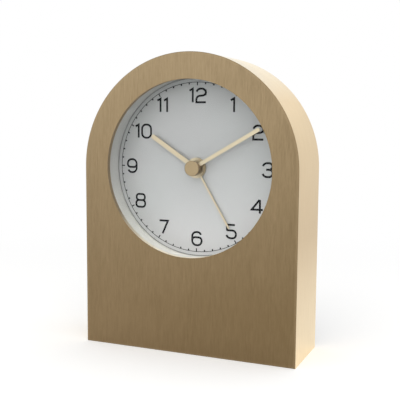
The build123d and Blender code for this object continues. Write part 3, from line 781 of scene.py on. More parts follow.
@dataclass(frozen=True)
class CellFinish:
    """A dry cell: a plain sleeve with a pale band near its positive end, and bare steel ends."""

    name: str
    sleeve: Colour = (0.05, 0.065, 0.09)
    shade: Colour = (0.065, 0.08, 0.105)
    band: Colour = (0.62, 0.63, 0.64)
    steel: Colour = (0.55, 0.55, 0.56)
    end: float = 23.4 * MM
    band_start: float = 14.5 * MM
    band_end: float = 18.0 * MM
    skin: float = 1800.0
    roughness: Point = (0.22, 0.34)
    bump: float = 0.03

    def make(self, effects: Effects) -> bpy.types.Material:
        """Builds the material.

        Args:
            effects: The shared node groups.

        Returns:
            The material.
        """
        material, tree, shader = new_material(self.name)
        skin = effects.put(tree, effects.moulding, {"Scale": (self.skin,) * 3})
        lines = effects.put(tree, effects.brushing, {"Scale": Grain.EVEN.value})
        across = tree.place()["X"]
        bare = tree.maths("GREATER_THAN", tree.maths("ABSOLUTE", across), self.end)
        begun = tree.maths("GREATER_THAN", across, self.band_start)
        banded = tree.maths("MULTIPLY", begun, tree.maths("LESS_THAN", across, self.band_end))
        colour = tree.blend(skin.outputs["Tone"], self.sleeve, self.shade)
        colour = tree.blend(banded, colour, self.band)
        tree.link(tree.blend(bare, colour, self.steel), shader.inputs["Base Color"])
        tree.link(bare, shader.inputs["Metallic"])
        tree.link(tree.span(lines.outputs["Lines"], *self.roughness), shader.inputs["Roughness"])
        add_relief(tree, shader, skin.outputs["Height"], self.bump)
        return material


@dataclass(frozen=True)
class GlassFinish:
    """Clear flat glass, coated against glare, that lets the lamps through to the dial."""

    name: str
    tint: Colour
    index: float = 1.16

    def make(self, effects: Effects) -> bpy.types.Material:
        """Builds the material.

        Args:
            effects: The shared node groups.

        Returns:
            The material.
        """
        material, tree, shader = new_material(self.name)
        drift = effects.put(tree, effects.drift, {"Scale": Drift.GLASS.value})
        tree.link(tree.blend(drift.outputs["Tone"], WHITE, self.tint), shader.inputs["Base Color"])
        shader.inputs["Roughness"].default_value = 0.0
        shader.inputs["IOR"].default_value = self.index
        shader.inputs["Transmission Weight"].default_value = 1.0
        path = tree.add("LightPath")
        clear = tree.add("BsdfTransparent")
        choice = tree.add("MixShader")
        tree.link(path.outputs["Is Shadow Ray"], choice.inputs[0])
        tree.link(shader.outputs[0], choice.inputs[1])
        tree.link(clear.outputs[0], choice.inputs[2])
        tree.link(choice.outputs[0], material.node_tree.nodes["Material Output"].inputs["Surface"])
        return material


Finish = MetalFinish | CaseFinish | PlasticFinish | CellFinish | GlassFinish


@dataclass(frozen=True)
class Stroke:
    """One pen stroke: corners as (x, y, radius), in millimetres."""

    corners: tuple[Corner, ...]
    closed: bool = False

    def moved(self, across: float, up: float, flip: bool = False) -> Stroke:
        """Gives the stroke at another place.

        Args:
            across: How far it moves to the right.
            up: How far it moves up.
            flip: True to mirror it left to right first.

        Returns:
            The moved stroke.
        """
        side = -1.0 if flip else 1.0
        return Stroke(tuple((side * x + across, y + up, c) for x, y, c in self.corners), self.closed)

    def line(self) -> list[Point]:
        """Follows the stroke's middle, with each corner turned into an arc.

        Returns:
            Points along the stroke.
        """
        found: list[Point] = []
        count = len(self.corners)
        for n, (x, y, radius) in enumerate(self.corners):
            here = Vector((x, y))
            if not self.closed and n in (0, count - 1):
                near = self.corners[1 if n == 0 else count - 2]
                if near[2] < (Vector(near[:2]) - here).length:
                    found.append((x, y))
                continue
            if radius <= 0:
                found.append((x, y))
                continue
            back = Vector(self.corners[n - 1][:2]) - here
            ahead = Vector(self.corners[(n + 1) % count][:2]) - here
            found += [(p.x, p.y) for p in self._turn(here, back, ahead, radius) if self._inside(n, p)]
        return found

    def _turn(self, here: Vector, back: Vector, ahead: Vector, radius: float) -> list[Vector]:
        """Rounds one corner.

        Args:
            here: The corner.
            back: The way to the corner before.
            ahead: The way to the corner after.
            radius: The arc's radius.

        Returns:
            Points along the arc.
        """
        turn = back.angle(ahead)
        start = here + back.normalized() * (radius / math.tan(turn / 2))
        inward = (back.normalized() + ahead.normalized()).normalized()
        middle = here + inward * (radius / math.sin(turn / 2))
        sweep = math.pi - turn
        side = 1 if back.x * ahead.y - back.y * ahead.x < 0 else -1
        steps = max(ARC_STEPS_LEAST, math.ceil(sweep / ARC_STEP))
        arm = start - middle
        return [middle + Matrix.Rotation(side * sweep * k / steps, 2) @ arm for k in range(steps + 1)]

    def _inside(self, n: int, spot: Vector) -> bool:
        """Tells if a point of an arc lies before the stroke's ends.

        Args:
            n: The arc's corner.
            spot: The point.

        Returns:
            False if the arc has run past an end that lies next to its corner.
        """
        if self.closed:
            return True
        here = Vector(self.corners[n][:2])
        for m in (n - 1, n + 1):
            if m in (0, len(self.corners) - 1):
                reach = Vector(self.corners[m][:2]) - here
                if (spot - here).dot(reach) > reach.length_squared:
                    return False
        return True


@dataclass
class Print:
    """Flat printed lines on a face across Y, gathered into one piece."""

    name: str
    face: float
    outward: float
    ink: float = 0.03 * MM
    layer_step: float = 0.06
    layer_cycle: int = 6
    mitre_least: float = 0.35
    mesh: bmesh.types.BMesh = field(default_factory=bmesh.new)
    layers: int = 0

    def draw(self, line: list[Point], width: float, closed: bool = False) -> None:
        """Adds a line as a thin closed solid, each a hair higher than the last few.

        Args:
            line: Points along the middle, as (x, z) in metres.
            width: The line's width in metres.
            closed: True if the line's end meets its start.
        """
        count = len(line)
        points = [Vector(p) for p in line]
        thick = self.ink * (1 + self.layer_step * (self.layers % self.layer_cycle))
        top = self.face + self.outward * thick
        self.layers += 1
        rails: list[list[bmesh.types.BMVert]] = []
        for n, here in enumerate(points):
            before = points[n - 1] if closed or n else None
            after = points[(n + 1) % count] if closed or n < count - 1 else None
            into = (here - before).normalized() if before is not None else (after - here).normalized()
            out = (after - here).normalized() if after is not None else into
            along = (into + out).normalized()
            across = Vector((-along.y, along.x)) * (width / 2) / max(self.mitre_least, along.dot(into))
            sides = ((here + across, top), (here - across, top))
            sides += ((here - across, self.face), (here + across, self.face))
            rails.append([self.mesh.verts.new((spot.x, depth, spot.y)) for spot, depth in sides])
        for n in range(count if closed else count - 1):
            one, two = rails[n], rails[(n + 1) % count]
            for k in range(4):
                self.mesh.faces.new((one[k], one[(k + 1) % 4], two[(k + 1) % 4], two[k]))
        if not closed:
            self.mesh.faces.new(rails[0][::-1])
            self.mesh.faces.new(rails[-1])

    def finish(self, body: str, slot: str, material: bpy.types.Material) -> bpy.types.Object:
        """Turns the lines into a piece that rides on a body.

        Args:
            body: The body.
            slot: The record's material slot, which is not used.
            material: The piece's material.

        Returns:
            The piece.
        """
        piece = finish_mesh(self.mesh, self.name)
        dress(piece, material)
        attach(piece, body)
        return piece


def finish_mesh(mesh: bmesh.types.BMesh, name: str) -> bpy.types.Object:
    """Turns a mesh in the making into an object.

    Args:
        mesh: The mesh, which is freed.
        name: The object's name.

    Returns:
        The object, in the scene.
    """
    bmesh.ops.recalc_face_normals(mesh, faces=mesh.faces)
    data = bpy.data.meshes.new(name)
    mesh.to_mesh(data)
    mesh.free()
    obj = bpy.data.objects.new(name, data)
    bpy.context.scene.collection.objects.link(obj)
    return obj


def dress(obj: bpy.types.Object, material: bpy.types.Material) -> None:
    """Gives a piece one material in its first slot.

    Args:
        obj: The piece.
        material: The material.
    """
    if not obj.material_slots:
        obj.data.materials.append(material)
    obj.material_slots[0].material = material


def dress_nodes(frame: dict, finish: Finish, effects: Effects, names: tuple[str, ...]) -> None:
    """Gives several solids one finish.

    Args:
        frame: The loaded frame.
        finish: The finish.
        effects: The shared node groups.
        names: The solids' names.
    """
    material = finish.make(effects)
    for name in names:
        dress(frame["nodes"][name], material)


@dataclass(frozen=True)
class Lettering:
    """Plain upright figures and letters, drawn with one pen, in millimetres."""

    pen: float
    width: float
    height: float
    gap: float
    slim: float

    def sign(self, name: str) -> tuple[float, list[Stroke]]:
        """Draws one figure or letter from its lower left corner, by shares of its width and height.

        Args:
            name: A figure from 0 to 9, or one of the letters F, N and O.

        Returns:
            Its width with the pen, and its strokes.
        """
        w, h = self.width - self.pen, self.height - self.pen
        wide, round_, tight = 0.44 * w, 0.365 * w, 0.31 * w
        mid, hook, tail = 0.53 * h, 0.76 * h, 0.24 * h
        near, far, loop = 0.04 * w, 0.96 * w, 0.9 * tight
        if name == "1":
            stem = self.slim - self.pen
            return self.slim, [Stroke(((0, 0.86 * h, 0), (stem, h, 0), (stem, 0, 0)))]
        if name == "9":
            return self.width, [
                Stroke(tuple((w - x, h - y, c) for x, y, c in s.corners), s.closed)
                for s in self.sign("6")[1]
            ]
        two_top = ((0, hook, 0), (0, h, wide), (w, h, wide), (w, mid - 0.015 * h, round_))
        two_foot = ((0, mid - 0.075 * h, round_), (0, 0, 0), (w, 0, 0))
        three_top = ((0.02 * w, hook, 0), (0.02 * w, h, wide), (0.97 * w, h, tight), (0.97 * w, mid, tight))
        bowl = ((w, 0, round_), (0, 0, wide), (0, tail, 0))
        shapes = {
            "0": [Stroke(((0, 0, wide), (w, 0, wide), (w, h, wide), (0, h, wide)), True)],
            "2": [Stroke(two_top + two_foot)],
            "3": [
                Stroke(three_top + ((0.36 * w, mid, 0),)),
                Stroke(((0.36 * w, mid, 0), (w, mid, tight), *bowl)),
            ],
            "4": [
                Stroke(((0.72 * w, h, 0), (-0.05 * w, 0.27 * h, 0), (1.05 * w, 0.27 * h, 0))),
                Stroke(((0.76 * w, h, 0), (0.76 * w, 0, 0))),
            ],
            "5": [
                Stroke(((0.88 * w, h, 0), (0.08 * w, h, 0), (0.08 * w, 0.55 * h, 0))),
                Stroke(((0.08 * w, 0.58 * h, 0), (w, 0.58 * h, round_), *bowl)),
            ],
            "6": [
                Stroke(((0, 0, wide), (w, 0, wide), (w, 0.6 * h, tight), (0, 0.6 * h, tight)), True),
                Stroke(((0, 0.35 * h, 0), (0, h, wide), (0.94 * w, h, round_), (0.94 * w, 0.8 * h, 0))),
            ],
            "7": [Stroke(((0, h, 0), (0.92 * w, h, 0), (0.34 * w, 0, 0)))],
            "8": [
                Stroke(((0, 0, tight), (w, 0, tight), (w, mid, tight), (0, mid, tight)), True),
                Stroke(((near, mid, loop), (far, mid, loop), (far, h, loop), (near, h, loop)), True),
            ],
            "F": [Stroke(((w, h, 0), (0, h, 0), (0, 0, 0))), Stroke(((0, mid, 0), (0.86 * w, mid, 0)))],
            "N": [Stroke(((0, 0, 0), (0, h, 0), (w, 0, 0), (w, h, 0)))],
        }
        shapes["O"] = shapes["0"]
        return self.width, shapes[name]

    def word(self, text: str) -> list[Stroke]:
        """Sets signs side by side.

        Args:
            text: The signs.

        Returns:
            Their strokes, with the middle of the word at the origin.
        """
        across = 0.0
        strokes: list[Stroke] = []
        for name in text:
            width, drawn = self.sign(name)
            strokes += [stroke.moved(across, 0.0) for stroke in drawn]
            across += width + self.gap
        left = (self.pen - across + self.gap) / 2
        return [stroke.moved(left, (self.pen - self.height) / 2) for stroke in strokes]


@dataclass
class Dial:
    """The silver dial in its grey ring, with the printed track and numbers. Print is in millimetres."""

    height: float = 93.0 * MM
    face: float = -5.0 * MM
    track_radius: float = 43.0
    track_width: float = 0.28
    # Radius and width of the painted shadow line in the gap between the dial and its ring.
    border_radius: float = 44.98
    border_width: float = 0.3
    minute_length: float = 0.95
    minute_width: float = 0.72
    hour_length: float = 1.65
    hour_width: float = 0.56
    number_reach: Point = (37.2, 36.3)
    number_shift: float = 0.2
    nudges: dict[int, float] = field(default_factory=lambda: {10: 1.6, 11: -1.1})
    figures: Lettering = Lettering(pen=1.03, width=6.25, height=7.8, gap=0.95, slim=2.8)
    silver: PlasticFinish = PlasticFinish(
        "dial_silver", (0.455, 0.46, 0.459), (0.43, 0.436, 0.436), 0.46, 5200.0, 0.05, 0.3,
        # The dial's lower part is painted lighter and its top darker, as painted light and shade in the
        # recess.
        lift=Lift((0.57, 0.571, 0.57), 50.0 * MM, 102.0 * MM),
    )
    ring: PlasticFinish = PlasticFinish(
        "ring_grey", (0.565, 0.565, 0.545), (0.535, 0.535, 0.515), 0.42, 3000.0, 0.06,
        # The ring's lower part is painted paler and warmer, as painted light from above; its upper part
        # stays in painted shade.
        lift=Lift((0.87, 0.855, 0.79), 50.0 * MM, 88.0 * MM),
    )
    ink: PlasticFinish = PlasticFinish(
        "dial_ink", (0.006, 0.0065, 0.008), (0.01, 0.0105, 0.012), 0.6, 6000.0, 0.05, shine=0.06
    )
    # Painted shadow for the gap between the dial and its ring.
    seam: PlasticFinish = PlasticFinish(
        "dial_gap_shadow_ink", (0.17, 0.17, 0.165), (0.21, 0.21, 0.205), 0.6, 6000.0, 0.05
    )

    def at(self, x: float, y: float) -> Point:
        """Turns millimetres from the dial's centre into metres in the frame."""
        return x * MM, self.height + y * MM

    def on_ray(self, radius: float, degrees: float) -> Point:
        """Gives the point at a radius, clockwise from twelve, in metres in the frame."""
        angle = math.radians(degrees)
        return self.at(radius * math.sin(angle), radius * math.cos(angle))

    def ring_line(self, radius: float) -> list[Point]:
        """Gives points round a circle about the dial's centre."""
        return [self.on_ray(radius, degrees) for degrees in range(0, 360, RING_STEP)]

    def print_track(self) -> Print:
        """Prints the minute track, with a dot for each minute and a tick for each hour.

        Returns:
            The print.
        """
        sheet = Print("minute_track", self.face, -1.0)
        sheet.draw(self.ring_line(self.track_radius), self.track_width * MM, True)
        for minute in range(60):
            on_hour = minute % 5 == 0
            length = self.hour_length if on_hour else self.minute_length
            width = self.hour_width if on_hour else self.minute_width
            turn = MINUTE_TURN * minute
            ends = [self.on_ray(self.track_radius - inset, turn) for inset in (length, 0.0)]
            sheet.draw(ends, width * MM)
        return sheet

    def print_numbers(self) -> Print:
        """Prints the hours.

        Returns:
            The print.
        """
        sheet = Print("hour_numbers", self.face, -1.0)
        for hour in range(1, 13):
            angle = math.radians(HOUR_TURN * hour)
            x = self.number_shift + self.number_reach[0] * math.sin(angle) + self.nudges.get(hour, 0.0)
            y = self.number_reach[1] * math.cos(angle)
            for stroke in self.figures.word(str(hour)):
                line = [self.at(x + u, y + v) for u, v in stroke.line()]
                sheet.draw(line, self.figures.pen * MM, stroke.closed)
        return sheet

    def print_seam(self) -> Print:
        """Prints a thin grey line along the dial's rim, as painted shadow in the gap between the dial and
        its ring.

        Returns:
            The print.
        """
        sheet = Print("dial_gap_shadow_line", self.face, -1.0)
        sheet.draw(self.ring_line(self.border_radius), self.border_width * MM, True)
        return sheet

    def build(self, frame: dict, effects: Effects) -> list[bpy.types.Object]:
        """Dresses the dial and its ring, and adds the print and the painted gap shadow.

        Args:
            frame: The loaded frame.
            effects: The shared node groups.

        Returns:
            The new pieces.
        """
        dress_nodes(frame, self.silver, effects, ("dial_plate",))
        dress_nodes(frame, self.ring, effects, ("dial_frame",))
        # grey is the ink of the painted gap shadow.
        black, grey = self.ink.make(effects), self.seam.make(effects)
        sheets = ((self.print_track(), black), (self.print_numbers(), black), (self.print_seam(), grey))
        return [sheet.finish("case", "dial_silver", material) for sheet, material in sheets]


@dataclass
class Case:
    """The gold case: the brushed front, the satin band and the glass."""

    gold: CaseFinish = CaseFinish(
        "case_gold",
        # Front tones: painted highlight at the top, painted shade at the foot.
        top_tone=(0.421, 0.318, 0.188),
        top_deep=(0.282, 0.209, 0.119),
        foot_tone=(0.259, 0.183, 0.099),
        foot_deep=(0.197, 0.136, 0.067),
        side_tone=(0.675, 0.51, 0.298),
        side_deep=(0.55, 0.412, 0.238),
        # Side tones: the foot, shoulder and crown tones are painted reflections.
        side_foot=(1.0, 0.83, 0.56),
        side_shoulder=(0.8, 0.625, 0.375),
        side_crown=(1.0, 0.92, 0.73),
        # Window's wall: painted shade high up, a painted highlight at its foot.
        wall_tone=(0.28, 0.21, 0.125),
        wall_foot=(1.0, 0.91, 0.72),
        # Chamfers: painted shade.
        bevel_tone=(0.26, 0.19, 0.105),
        worn_tone=(0.42, 0.32, 0.19),
    )
    glass: GlassFinish = GlassFinish("clear_glass", (0.97, 0.985, 0.98))

    def build(self, frame: dict, effects: Effects) -> list[bpy.types.Object]:
        """Dresses the front, the band and the glass.

        Args:
            frame: The loaded frame.
            effects: The shared node groups.

        Returns:
            The new pieces, of which there are none.
        """
        dress_nodes(frame, self.gold, effects, ("front_panel", "case_band"))
        dress_nodes(frame, self.glass, effects, ("lens",))
        return []


@dataclass
class Hands:
    """The three hands and the cap over them."""

    blade: MetalFinish = MetalFinish(
        "hand_gold", (0.66, 0.57, 0.41), (0.61, 0.52, 0.365), 0.34, Grain.EVEN, 0.4, 0.05,
        # The blades' sides take painted shade.
        rim=(0.36, 0.275, 0.16),
    )
    cap: MetalFinish = MetalFinish(
        "cap_gold", (0.44, 0.333, 0.2), (0.38, 0.284, 0.165), 0.36, Grain.UPRIGHT, 0.6, 0.06,
        # The cap's side takes painted shade.
        rim=(0.22, 0.16, 0.09),
    )

    def build(self, frame: dict, effects: Effects) -> list[bpy.types.Object]:
        """Dresses the hands.

        Args:
            frame: The loaded frame.
            effects: The shared node groups.

        Returns:
            The new pieces, of which there are none.
        """
        dress_nodes(frame, self.blade, effects, ("hour_hand", "minute_hand", "alarm_hand"))
        dress_nodes(frame, self.cap, effects, ("hand_cap",))
        return []


@dataclass
class Movement:
    """The geared movement behind the dial and its electronics."""

    gear: PlasticFinish = PlasticFinish(
        "gear_white", (0.78, 0.77, 0.72), (0.7, 0.69, 0.64), 0.42, 2600.0, 0.05
    )
    shell: PlasticFinish = PlasticFinish(
        "shell_white", (0.66, 0.66, 0.63), (0.6, 0.6, 0.57), 0.5, 2200.0, 0.12
    )
    steel: MetalFinish = MetalFinish("bright_steel", (0.56, 0.56, 0.57), (0.42, 0.42, 0.43), 0.28)
    iron: MetalFinish = MetalFinish("stamped_iron", (0.46, 0.46, 0.47), (0.36, 0.36, 0.37), 0.4)
    magnet: MetalFinish = MetalFinish("magnet", (0.14, 0.14, 0.15), (0.1, 0.1, 0.105), 0.45)
    copper: MetalFinish = MetalFinish(
        "copper_wire", (0.74, 0.34, 0.16), (0.5, 0.19, 0.08), 0.3, Grain.WOUND, 0.9, bump=0.3
    )
    board: PlasticFinish = PlasticFinish(
        "board_green", (0.05, 0.26, 0.11), (0.035, 0.2, 0.08), 0.34, 1500.0, 0.08, 0.0, 0.4
    )
    resin: PlasticFinish = PlasticFinish(
        "resin_black", (0.016, 0.016, 0.016), (0.024, 0.024, 0.024), 0.22, 900.0, 0.05
    )
    brass: MetalFinish = MetalFinish("sounder_brass", (0.72, 0.53, 0.24), (0.6, 0.42, 0.17), 0.3)
    cell: CellFinish = CellFinish("cell_sleeve")

    def build(self, frame: dict, effects: Effects) -> list[bpy.types.Object]:
        """Dresses the wheels, shells and electronics.

        Args:
            frame: The loaded frame.
            effects: The shared node groups.

        Returns:
            The new pieces, of which there are none.
        """
        wheels = ("cannon_pinion", "motion_wheel", "hour_wheel", "alarm_wheel", "alarm_pinion")
        train = ("centre_wheel", "third_wheel", "fourth_wheel", "fifth_wheel")
        springs = ("stud_clips", "clutch_spring", "alarm_contact", "contact_positive", "contact_negative")
        bright = ("quartz_crystal", "case_screws", "movement_screws")
        dress_nodes(frame, self.gear, effects, wheels + train)
        dress_nodes(frame, self.shell, effects, ("middle_plate", "movement_base", "movement_cover"))
        dress_nodes(frame, self.steel, effects, springs + bright)
        dress_nodes(frame, self.iron, effects, ("stator",))
        dress_nodes(frame, self.magnet, effects, ("rotor",))
        dress_nodes(frame, self.copper, effects, ("coil",))
        dress_nodes(frame, self.board, effects, ("circuit_board",))
        dress_nodes(frame, self.resin, effects, ("control_chip",))
        dress_nodes(frame, self.brass, effects, ("buzzer",))
        dress_nodes(frame, self.cell, effects, ("battery",))
        return []


@dataclass
class Back:
    """The black back cover with its door, knobs, switch and printed signs. Signs are in millimetres."""

    face: float = 14.6 * MM
    knob_across: float = 9.02
    knob_level: float = 89.72
    arrow_radius: float = 8.9
    arrow_sweep: float = 64.0
    arrow_steps: int = 14
    arrow_head: float = 1.1
    arrow_slope: float = 1.3
    icon_level: float = 104.4
    clock_half: float = 2.2
    clock_corner: float = 2.15
    clock_hands: Point = (1.35, 1.0)
    line: float = 0.42
    switch_across: float = -19.1
    on_level: float = 104.4
    off_level: float = 88.6
    door_sign: Point = (0.0, 75.9)
    letters: Lettering = Lettering(pen=0.42, width=1.75, height=2.3, gap=0.42, slim=0.9)
    cover: PlasticFinish = PlasticFinish(
        "back_black", (0.019, 0.019, 0.02), (0.036, 0.036, 0.037), 0.58, 1300.0, 0.7, shine=0.26,
        rubbed=Rubbed((0.06, 0.06, 0.061), 54.6 * MM, 93.0 * MM, 2.0 * MM),
    )
    knob: PlasticFinish = PlasticFinish(
        "knob_black", (0.008, 0.008, 0.009), (0.013, 0.013, 0.014), 0.34, 2600.0, 0.15
    )
    paint: PlasticFinish = PlasticFinish(
        "sign_paint", (0.6, 0.6, 0.59), (0.54, 0.54, 0.53), 0.6, 6000.0, 0.05
    )

    def draw(self, sheet: Print, strokes: list[Stroke], place: Point) -> None:
        """Prints strokes so that they read from behind.

        Args:
            sheet: The print.
            strokes: The strokes, about the origin.
            place: Where the origin comes to, as (x, z).
        """
        for stroke in strokes:
            line = [(x * MM, z * MM) for x, z in stroke.moved(*place, flip=True).line()]
            sheet.draw(line, self.line * MM, stroke.closed)

    def arrow(self) -> list[Stroke]:
        """Draws an arc about the origin with an arrowhead at its end.

        Returns:
            The strokes.
        """
        radius, steps, size = self.arrow_radius, self.arrow_steps, self.arrow_head
        start = math.radians(90.0 + self.arrow_sweep / 2)
        step = math.radians(self.arrow_sweep) / steps
        turns = [start - k * step for k in range(steps)]
        arc = [(radius * math.cos(turn), radius * math.sin(turn), 0.0) for turn in turns]
        end = start - steps * step
        tip = Vector((radius * math.cos(end), radius * math.sin(end)))
        out = tip.normalized()
        ahead = Vector((out.y, -out.x))
        wings = [tip - ahead * size * self.arrow_slope + side * out * size for side in (1, -1)]
        head = tuple((p.x, p.y, 0.0) for p in (wings[0], tip, wings[1]))
        return [Stroke((*arc, (tip.x, tip.y, 0.0))), Stroke(head)]

    def clock_icon(self) -> list[Stroke]:
        """Draws a round clock face with two hands.

        Returns:
            The strokes.
        """
        rim = tuple((self.clock_half * x, self.clock_half * y, self.clock_corner) for x, y in SQUARE)
        up, across = self.clock_hands
        return [Stroke(rim, True), Stroke(((0.0, up, 0.0), (0.0, 0.0, 0.0), (across, 0.0, 0.0)))]

    def bell_icon(self) -> list[Stroke]:
        """Draws a bell.

        Returns:
            The strokes.
        """
        half = ((2.1, -1.3, 0.0), (1.5, -0.5, 0.3), (1.5, 2.1, 1.45))
        outline = half + tuple((-x, y, c) for x, y, c in reversed(half))
        return [Stroke(outline, True), Stroke(((-0.5, -2.0, 0.0), (0.5, -2.0, 0.0)))]

    def cell_icon(self) -> list[Stroke]:
        """Draws a cell with its positive end on the left, as it lies behind the door.

        Returns:
            The strokes.
        """
        half, high, corner = 7.0, 1.45, 0.5
        tip, sign, inset = 0.75, 0.7, 2.0
        case = tuple((half * x, high * y, corner) for x, y in SQUARE)
        nub = ((-half, sign, 0.0), (-half - tip, sign, 0.0), (-half - tip, -sign, 0.0), (-half, -sign, 0.0))
        plus = -half + inset
        return [
            Stroke(case, True),
            Stroke(nub),
            Stroke(((plus - sign, 0.0, 0.0), (plus + sign, 0.0, 0.0))),
            Stroke(((plus, -sign, 0.0), (plus, sign, 0.0))),
            Stroke(((-plus - sign, 0.0, 0.0), (-plus + sign, 0.0, 0.0))),
        ]

    def print_signs(self) -> Print:
        """Prints the signs round the knobs and the switch.

        Returns:
            The print.
        """
        sheet = Print("back_signs", self.face, 1.0)
        for side, icon in ((1, self.clock_icon()), (-1, self.bell_icon())):
            across = side * self.knob_across
            self.draw(sheet, self.arrow(), (across, self.knob_level))
            self.draw(sheet, icon, (across, self.icon_level))
        for text, level in (("ON", self.on_level), ("OFF", self.off_level)):
            self.draw(sheet, self.letters.word(text), (self.switch_across, level))
        return sheet

    def print_door_sign(self) -> Print:
        """Prints the cell's sign on the door.

        Returns:
            The print.
        """
        sheet = Print("door_sign", self.face, 1.0)
        self.draw(sheet, self.cell_icon(), self.door_sign)
        return sheet

    def build(self, frame: dict, effects: Effects) -> list[bpy.types.Object]:
        """Dresses the back and prints its signs.

        Args:
            frame: The loaded frame.
            effects: The shared node groups.

        Returns:
            The new pieces.
        """
        dress_nodes(frame, self.cover, effects, ("back_cover", "battery_door"))
        dress_nodes(frame, self.knob, effects, ("time_knob", "alarm_knob", "alarm_switch"))
        pale = self.paint.make(effects)
        return [
            self.print_signs().finish("case", "back_black", pale),
            self.print_door_sign().finish("door", "back_black", pale),
        ]


@dataclass(frozen=True)
class Lamp:
    """A square soft lamp that points at the clock, and shows in shiny pieces if it is mirrored."""

    name: str
    azimuth: float
    elevation: float
    distance: float
    size: float
    power: float
    mirrored: bool = True

    def build(self, aim: Vector) -> None:
        """Places the lamp.

        Args:
            aim: The point that it is turned to.
        """
        data = bpy.data.lights.new(self.name, "AREA")
        data.energy = self.power
        data.size = self.size
        lamp = bpy.data.objects.new(self.name, data)
        away = direction(self.azimuth, self.elevation)
        lamp.location = aim + away * self.distance
        lamp.rotation_euler = away.to_track_quat("Z", "Y").to_euler()
        lamp.visible_glossy = self.mirrored
        bpy.context.scene.collection.objects.link(lamp)


def direction(azimuth: float, elevation: float) -> Vector:
    """Gives the way from the clock to a place round it.

    Args:
        azimuth: Degrees to the right of straight ahead of the dial.
        elevation: Degrees above the level.

    Returns:
        A vector of length 1.
    """
    a, e = math.radians(azimuth), math.radians(elevation)
    return Vector((math.sin(a) * math.cos(e), -math.cos(a) * math.cos(e), math.sin(e)))


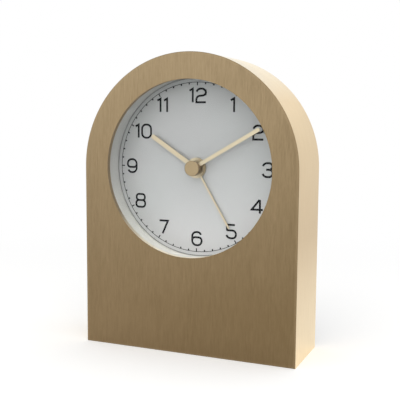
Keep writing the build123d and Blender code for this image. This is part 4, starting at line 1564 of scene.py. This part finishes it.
@dataclass
class Studio:
    """A pale floor, soft lamps, a white surround and the camera."""

    floor_radius: float = 4.0
    floor_rim: float = 0.05
    floor_sides: int = 96
    floor_tone: Colour = (0.93, 0.93, 0.925)
    floor_shade: float = 0.985
    floor_grain: float = 60.0
    floor_roughness: float = 0.9
    floor_glow: float = 0.16
    fade_start: float = 0.1
    fade_end: float = 0.42
    ambient: float = 0.35
    azimuth: float = 22.851
    elevation: float = 6.199
    roll: float = 0.359
    aim: tuple[float, float, float] = (-0.46 * MM, 0.0, 76.04 * MM)
    distance: float = 380.6 * MM
    lens: float = 66.374
    sensor: float = 36.0
    nearest: float = 10.0 * MM
    lamps: tuple[Lamp, ...] = (
        Lamp("key", 16.0, 13.0, 0.9, 1.0, 2.4),
        Lamp("fill", 72.0, 20.0, 1.0, 1.2, 0.8),
        Lamp("top", 6.0, 76.0, 1.0, 1.4, 8.8, mirrored=False),
        Lamp("side", 130.0, 58.0, 1.0, 1.4, 1.6),
    )

    def seen(self, tree: Tree) -> bpy.types.NodeSocket:
        """Tells if a ray comes from the camera, a gloss or a clear piece.

        Args:
            tree: The tree of the world or a material.

        Returns:
            The output that holds it, as 0 or 1.
        """
        path = tree.add("LightPath")
        found = tree.maths("MAXIMUM", path.outputs["Is Camera Ray"], path.outputs["Is Glossy Ray"])
        return tree.maths("MAXIMUM", found, path.outputs["Is Transmission Ray"])

    def build_floor(self) -> None:
        """Lays the floor as a large disc with its rim turned down, which fades to white far away."""
        mesh = bmesh.new()
        sides, rim = self.floor_sides, self.floor_rim
        turns = [2 * math.pi * n / sides for n in range(sides)]
        middle = mesh.verts.new((0.0, 0.0, 0.0))
        rings = [
            [mesh.verts.new((radius * math.cos(t), radius * math.sin(t), level)) for t in turns]
            for radius, level in ((self.floor_radius, 0.0), (self.floor_radius + rim, -rim))
        ]
        for n in range(sides):
            m = (n + 1) % sides
            mesh.faces.new((middle, rings[0][n], rings[0][m]))
            mesh.faces.new((rings[0][n], rings[1][n], rings[1][m], rings[0][m]))
        floor = finish_mesh(mesh, "floor")
        material, tree, shader = new_material("floor_paper")
        noise = tree.add("TexNoise")
        noise.inputs["Scale"].default_value = self.floor_grain
        shaded = tuple(self.floor_shade * level for level in self.floor_tone)
        paper = tree.blend(noise.outputs["Fac"], self.floor_tone, shaded)
        away = tree.add("VectorMath", operation="LENGTH")
        tree.link(tree.add("TexCoord").outputs["Object"], away.inputs[0])
        far = tree.ramp(away.outputs["Value"], self.fade_start, self.fade_end, soft=True)
        seen = self.seen(tree)
        tree.link(tree.blend(tree.maths("MULTIPLY", far, seen), paper, BLACK), shader.inputs["Base Color"])
        tree.link(tree.blend(far, (self.floor_glow,) * 3, WHITE), shader.inputs["Emission Color"])
        tree.link(seen, shader.inputs["Emission Strength"])
        shader.inputs["Roughness"].default_value = self.floor_roughness
        shader.inputs["Specular IOR Level"].default_value = 0.0
        dress(floor, material)

    def build_surround(self) -> None:
        """Makes the world white to the camera, metal and glass, and a plain soft light to the rest."""
        world = bpy.data.worlds.new("surround")
        world.use_nodes = True
        bpy.context.scene.world = world
        tree = Tree(world.node_tree)
        background = world.node_tree.nodes["Background"]
        background.inputs["Color"].default_value = (*WHITE, 1.0)
        tree.link(tree.span(self.seen(tree), self.ambient, 1.0), background.inputs["Strength"])

    def build_camera(self) -> None:
        """Sets the camera where the photograph was taken from."""
        data = bpy.data.cameras.new("camera")
        data.lens = self.lens
        data.sensor_width = self.sensor
        data.clip_start = self.nearest
        camera = bpy.data.objects.new("camera", data)
        back, roll = direction(self.azimuth, self.elevation), math.radians(self.roll)
        level = (-back).cross(Vector(UP)).normalized()
        above = level.cross(-back)
        right = math.cos(roll) * level + math.sin(roll) * above
        up = math.cos(roll) * above - math.sin(roll) * level
        turn = Matrix((right, up, back)).transposed().to_4x4()
        camera.matrix_world = Matrix.Translation(Vector(self.aim) + self.distance * back) @ turn
        bpy.context.scene.collection.objects.link(camera)
        bpy.context.scene.camera = camera

    def build(self) -> None:
        """Builds the studio round the clock."""
        bpy.context.scene.view_settings.view_transform = "Standard"
        self.build_floor()
        self.build_surround()
        for lamp in self.lamps:
            lamp.build(Vector(self.aim))
        self.build_camera()


def main() -> None:
    """Builds every sub-assembly in order and logs its new pieces."""
    logging.basicConfig(level=logging.INFO, format="%(name)s: %(message)s")
    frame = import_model()
    effects = Effects()
    for assembly in (Case(), Dial(), Hands(), Movement(), Back()):
        pieces = assembly.build(frame, effects)
        log.info("%s dressed", type(assembly).__name__)
        for piece in pieces:
            log.info("piece %s, %d faces", piece.name, len(piece.data.polygons))
    Studio().build()


if __name__ == "__main__":
    main()
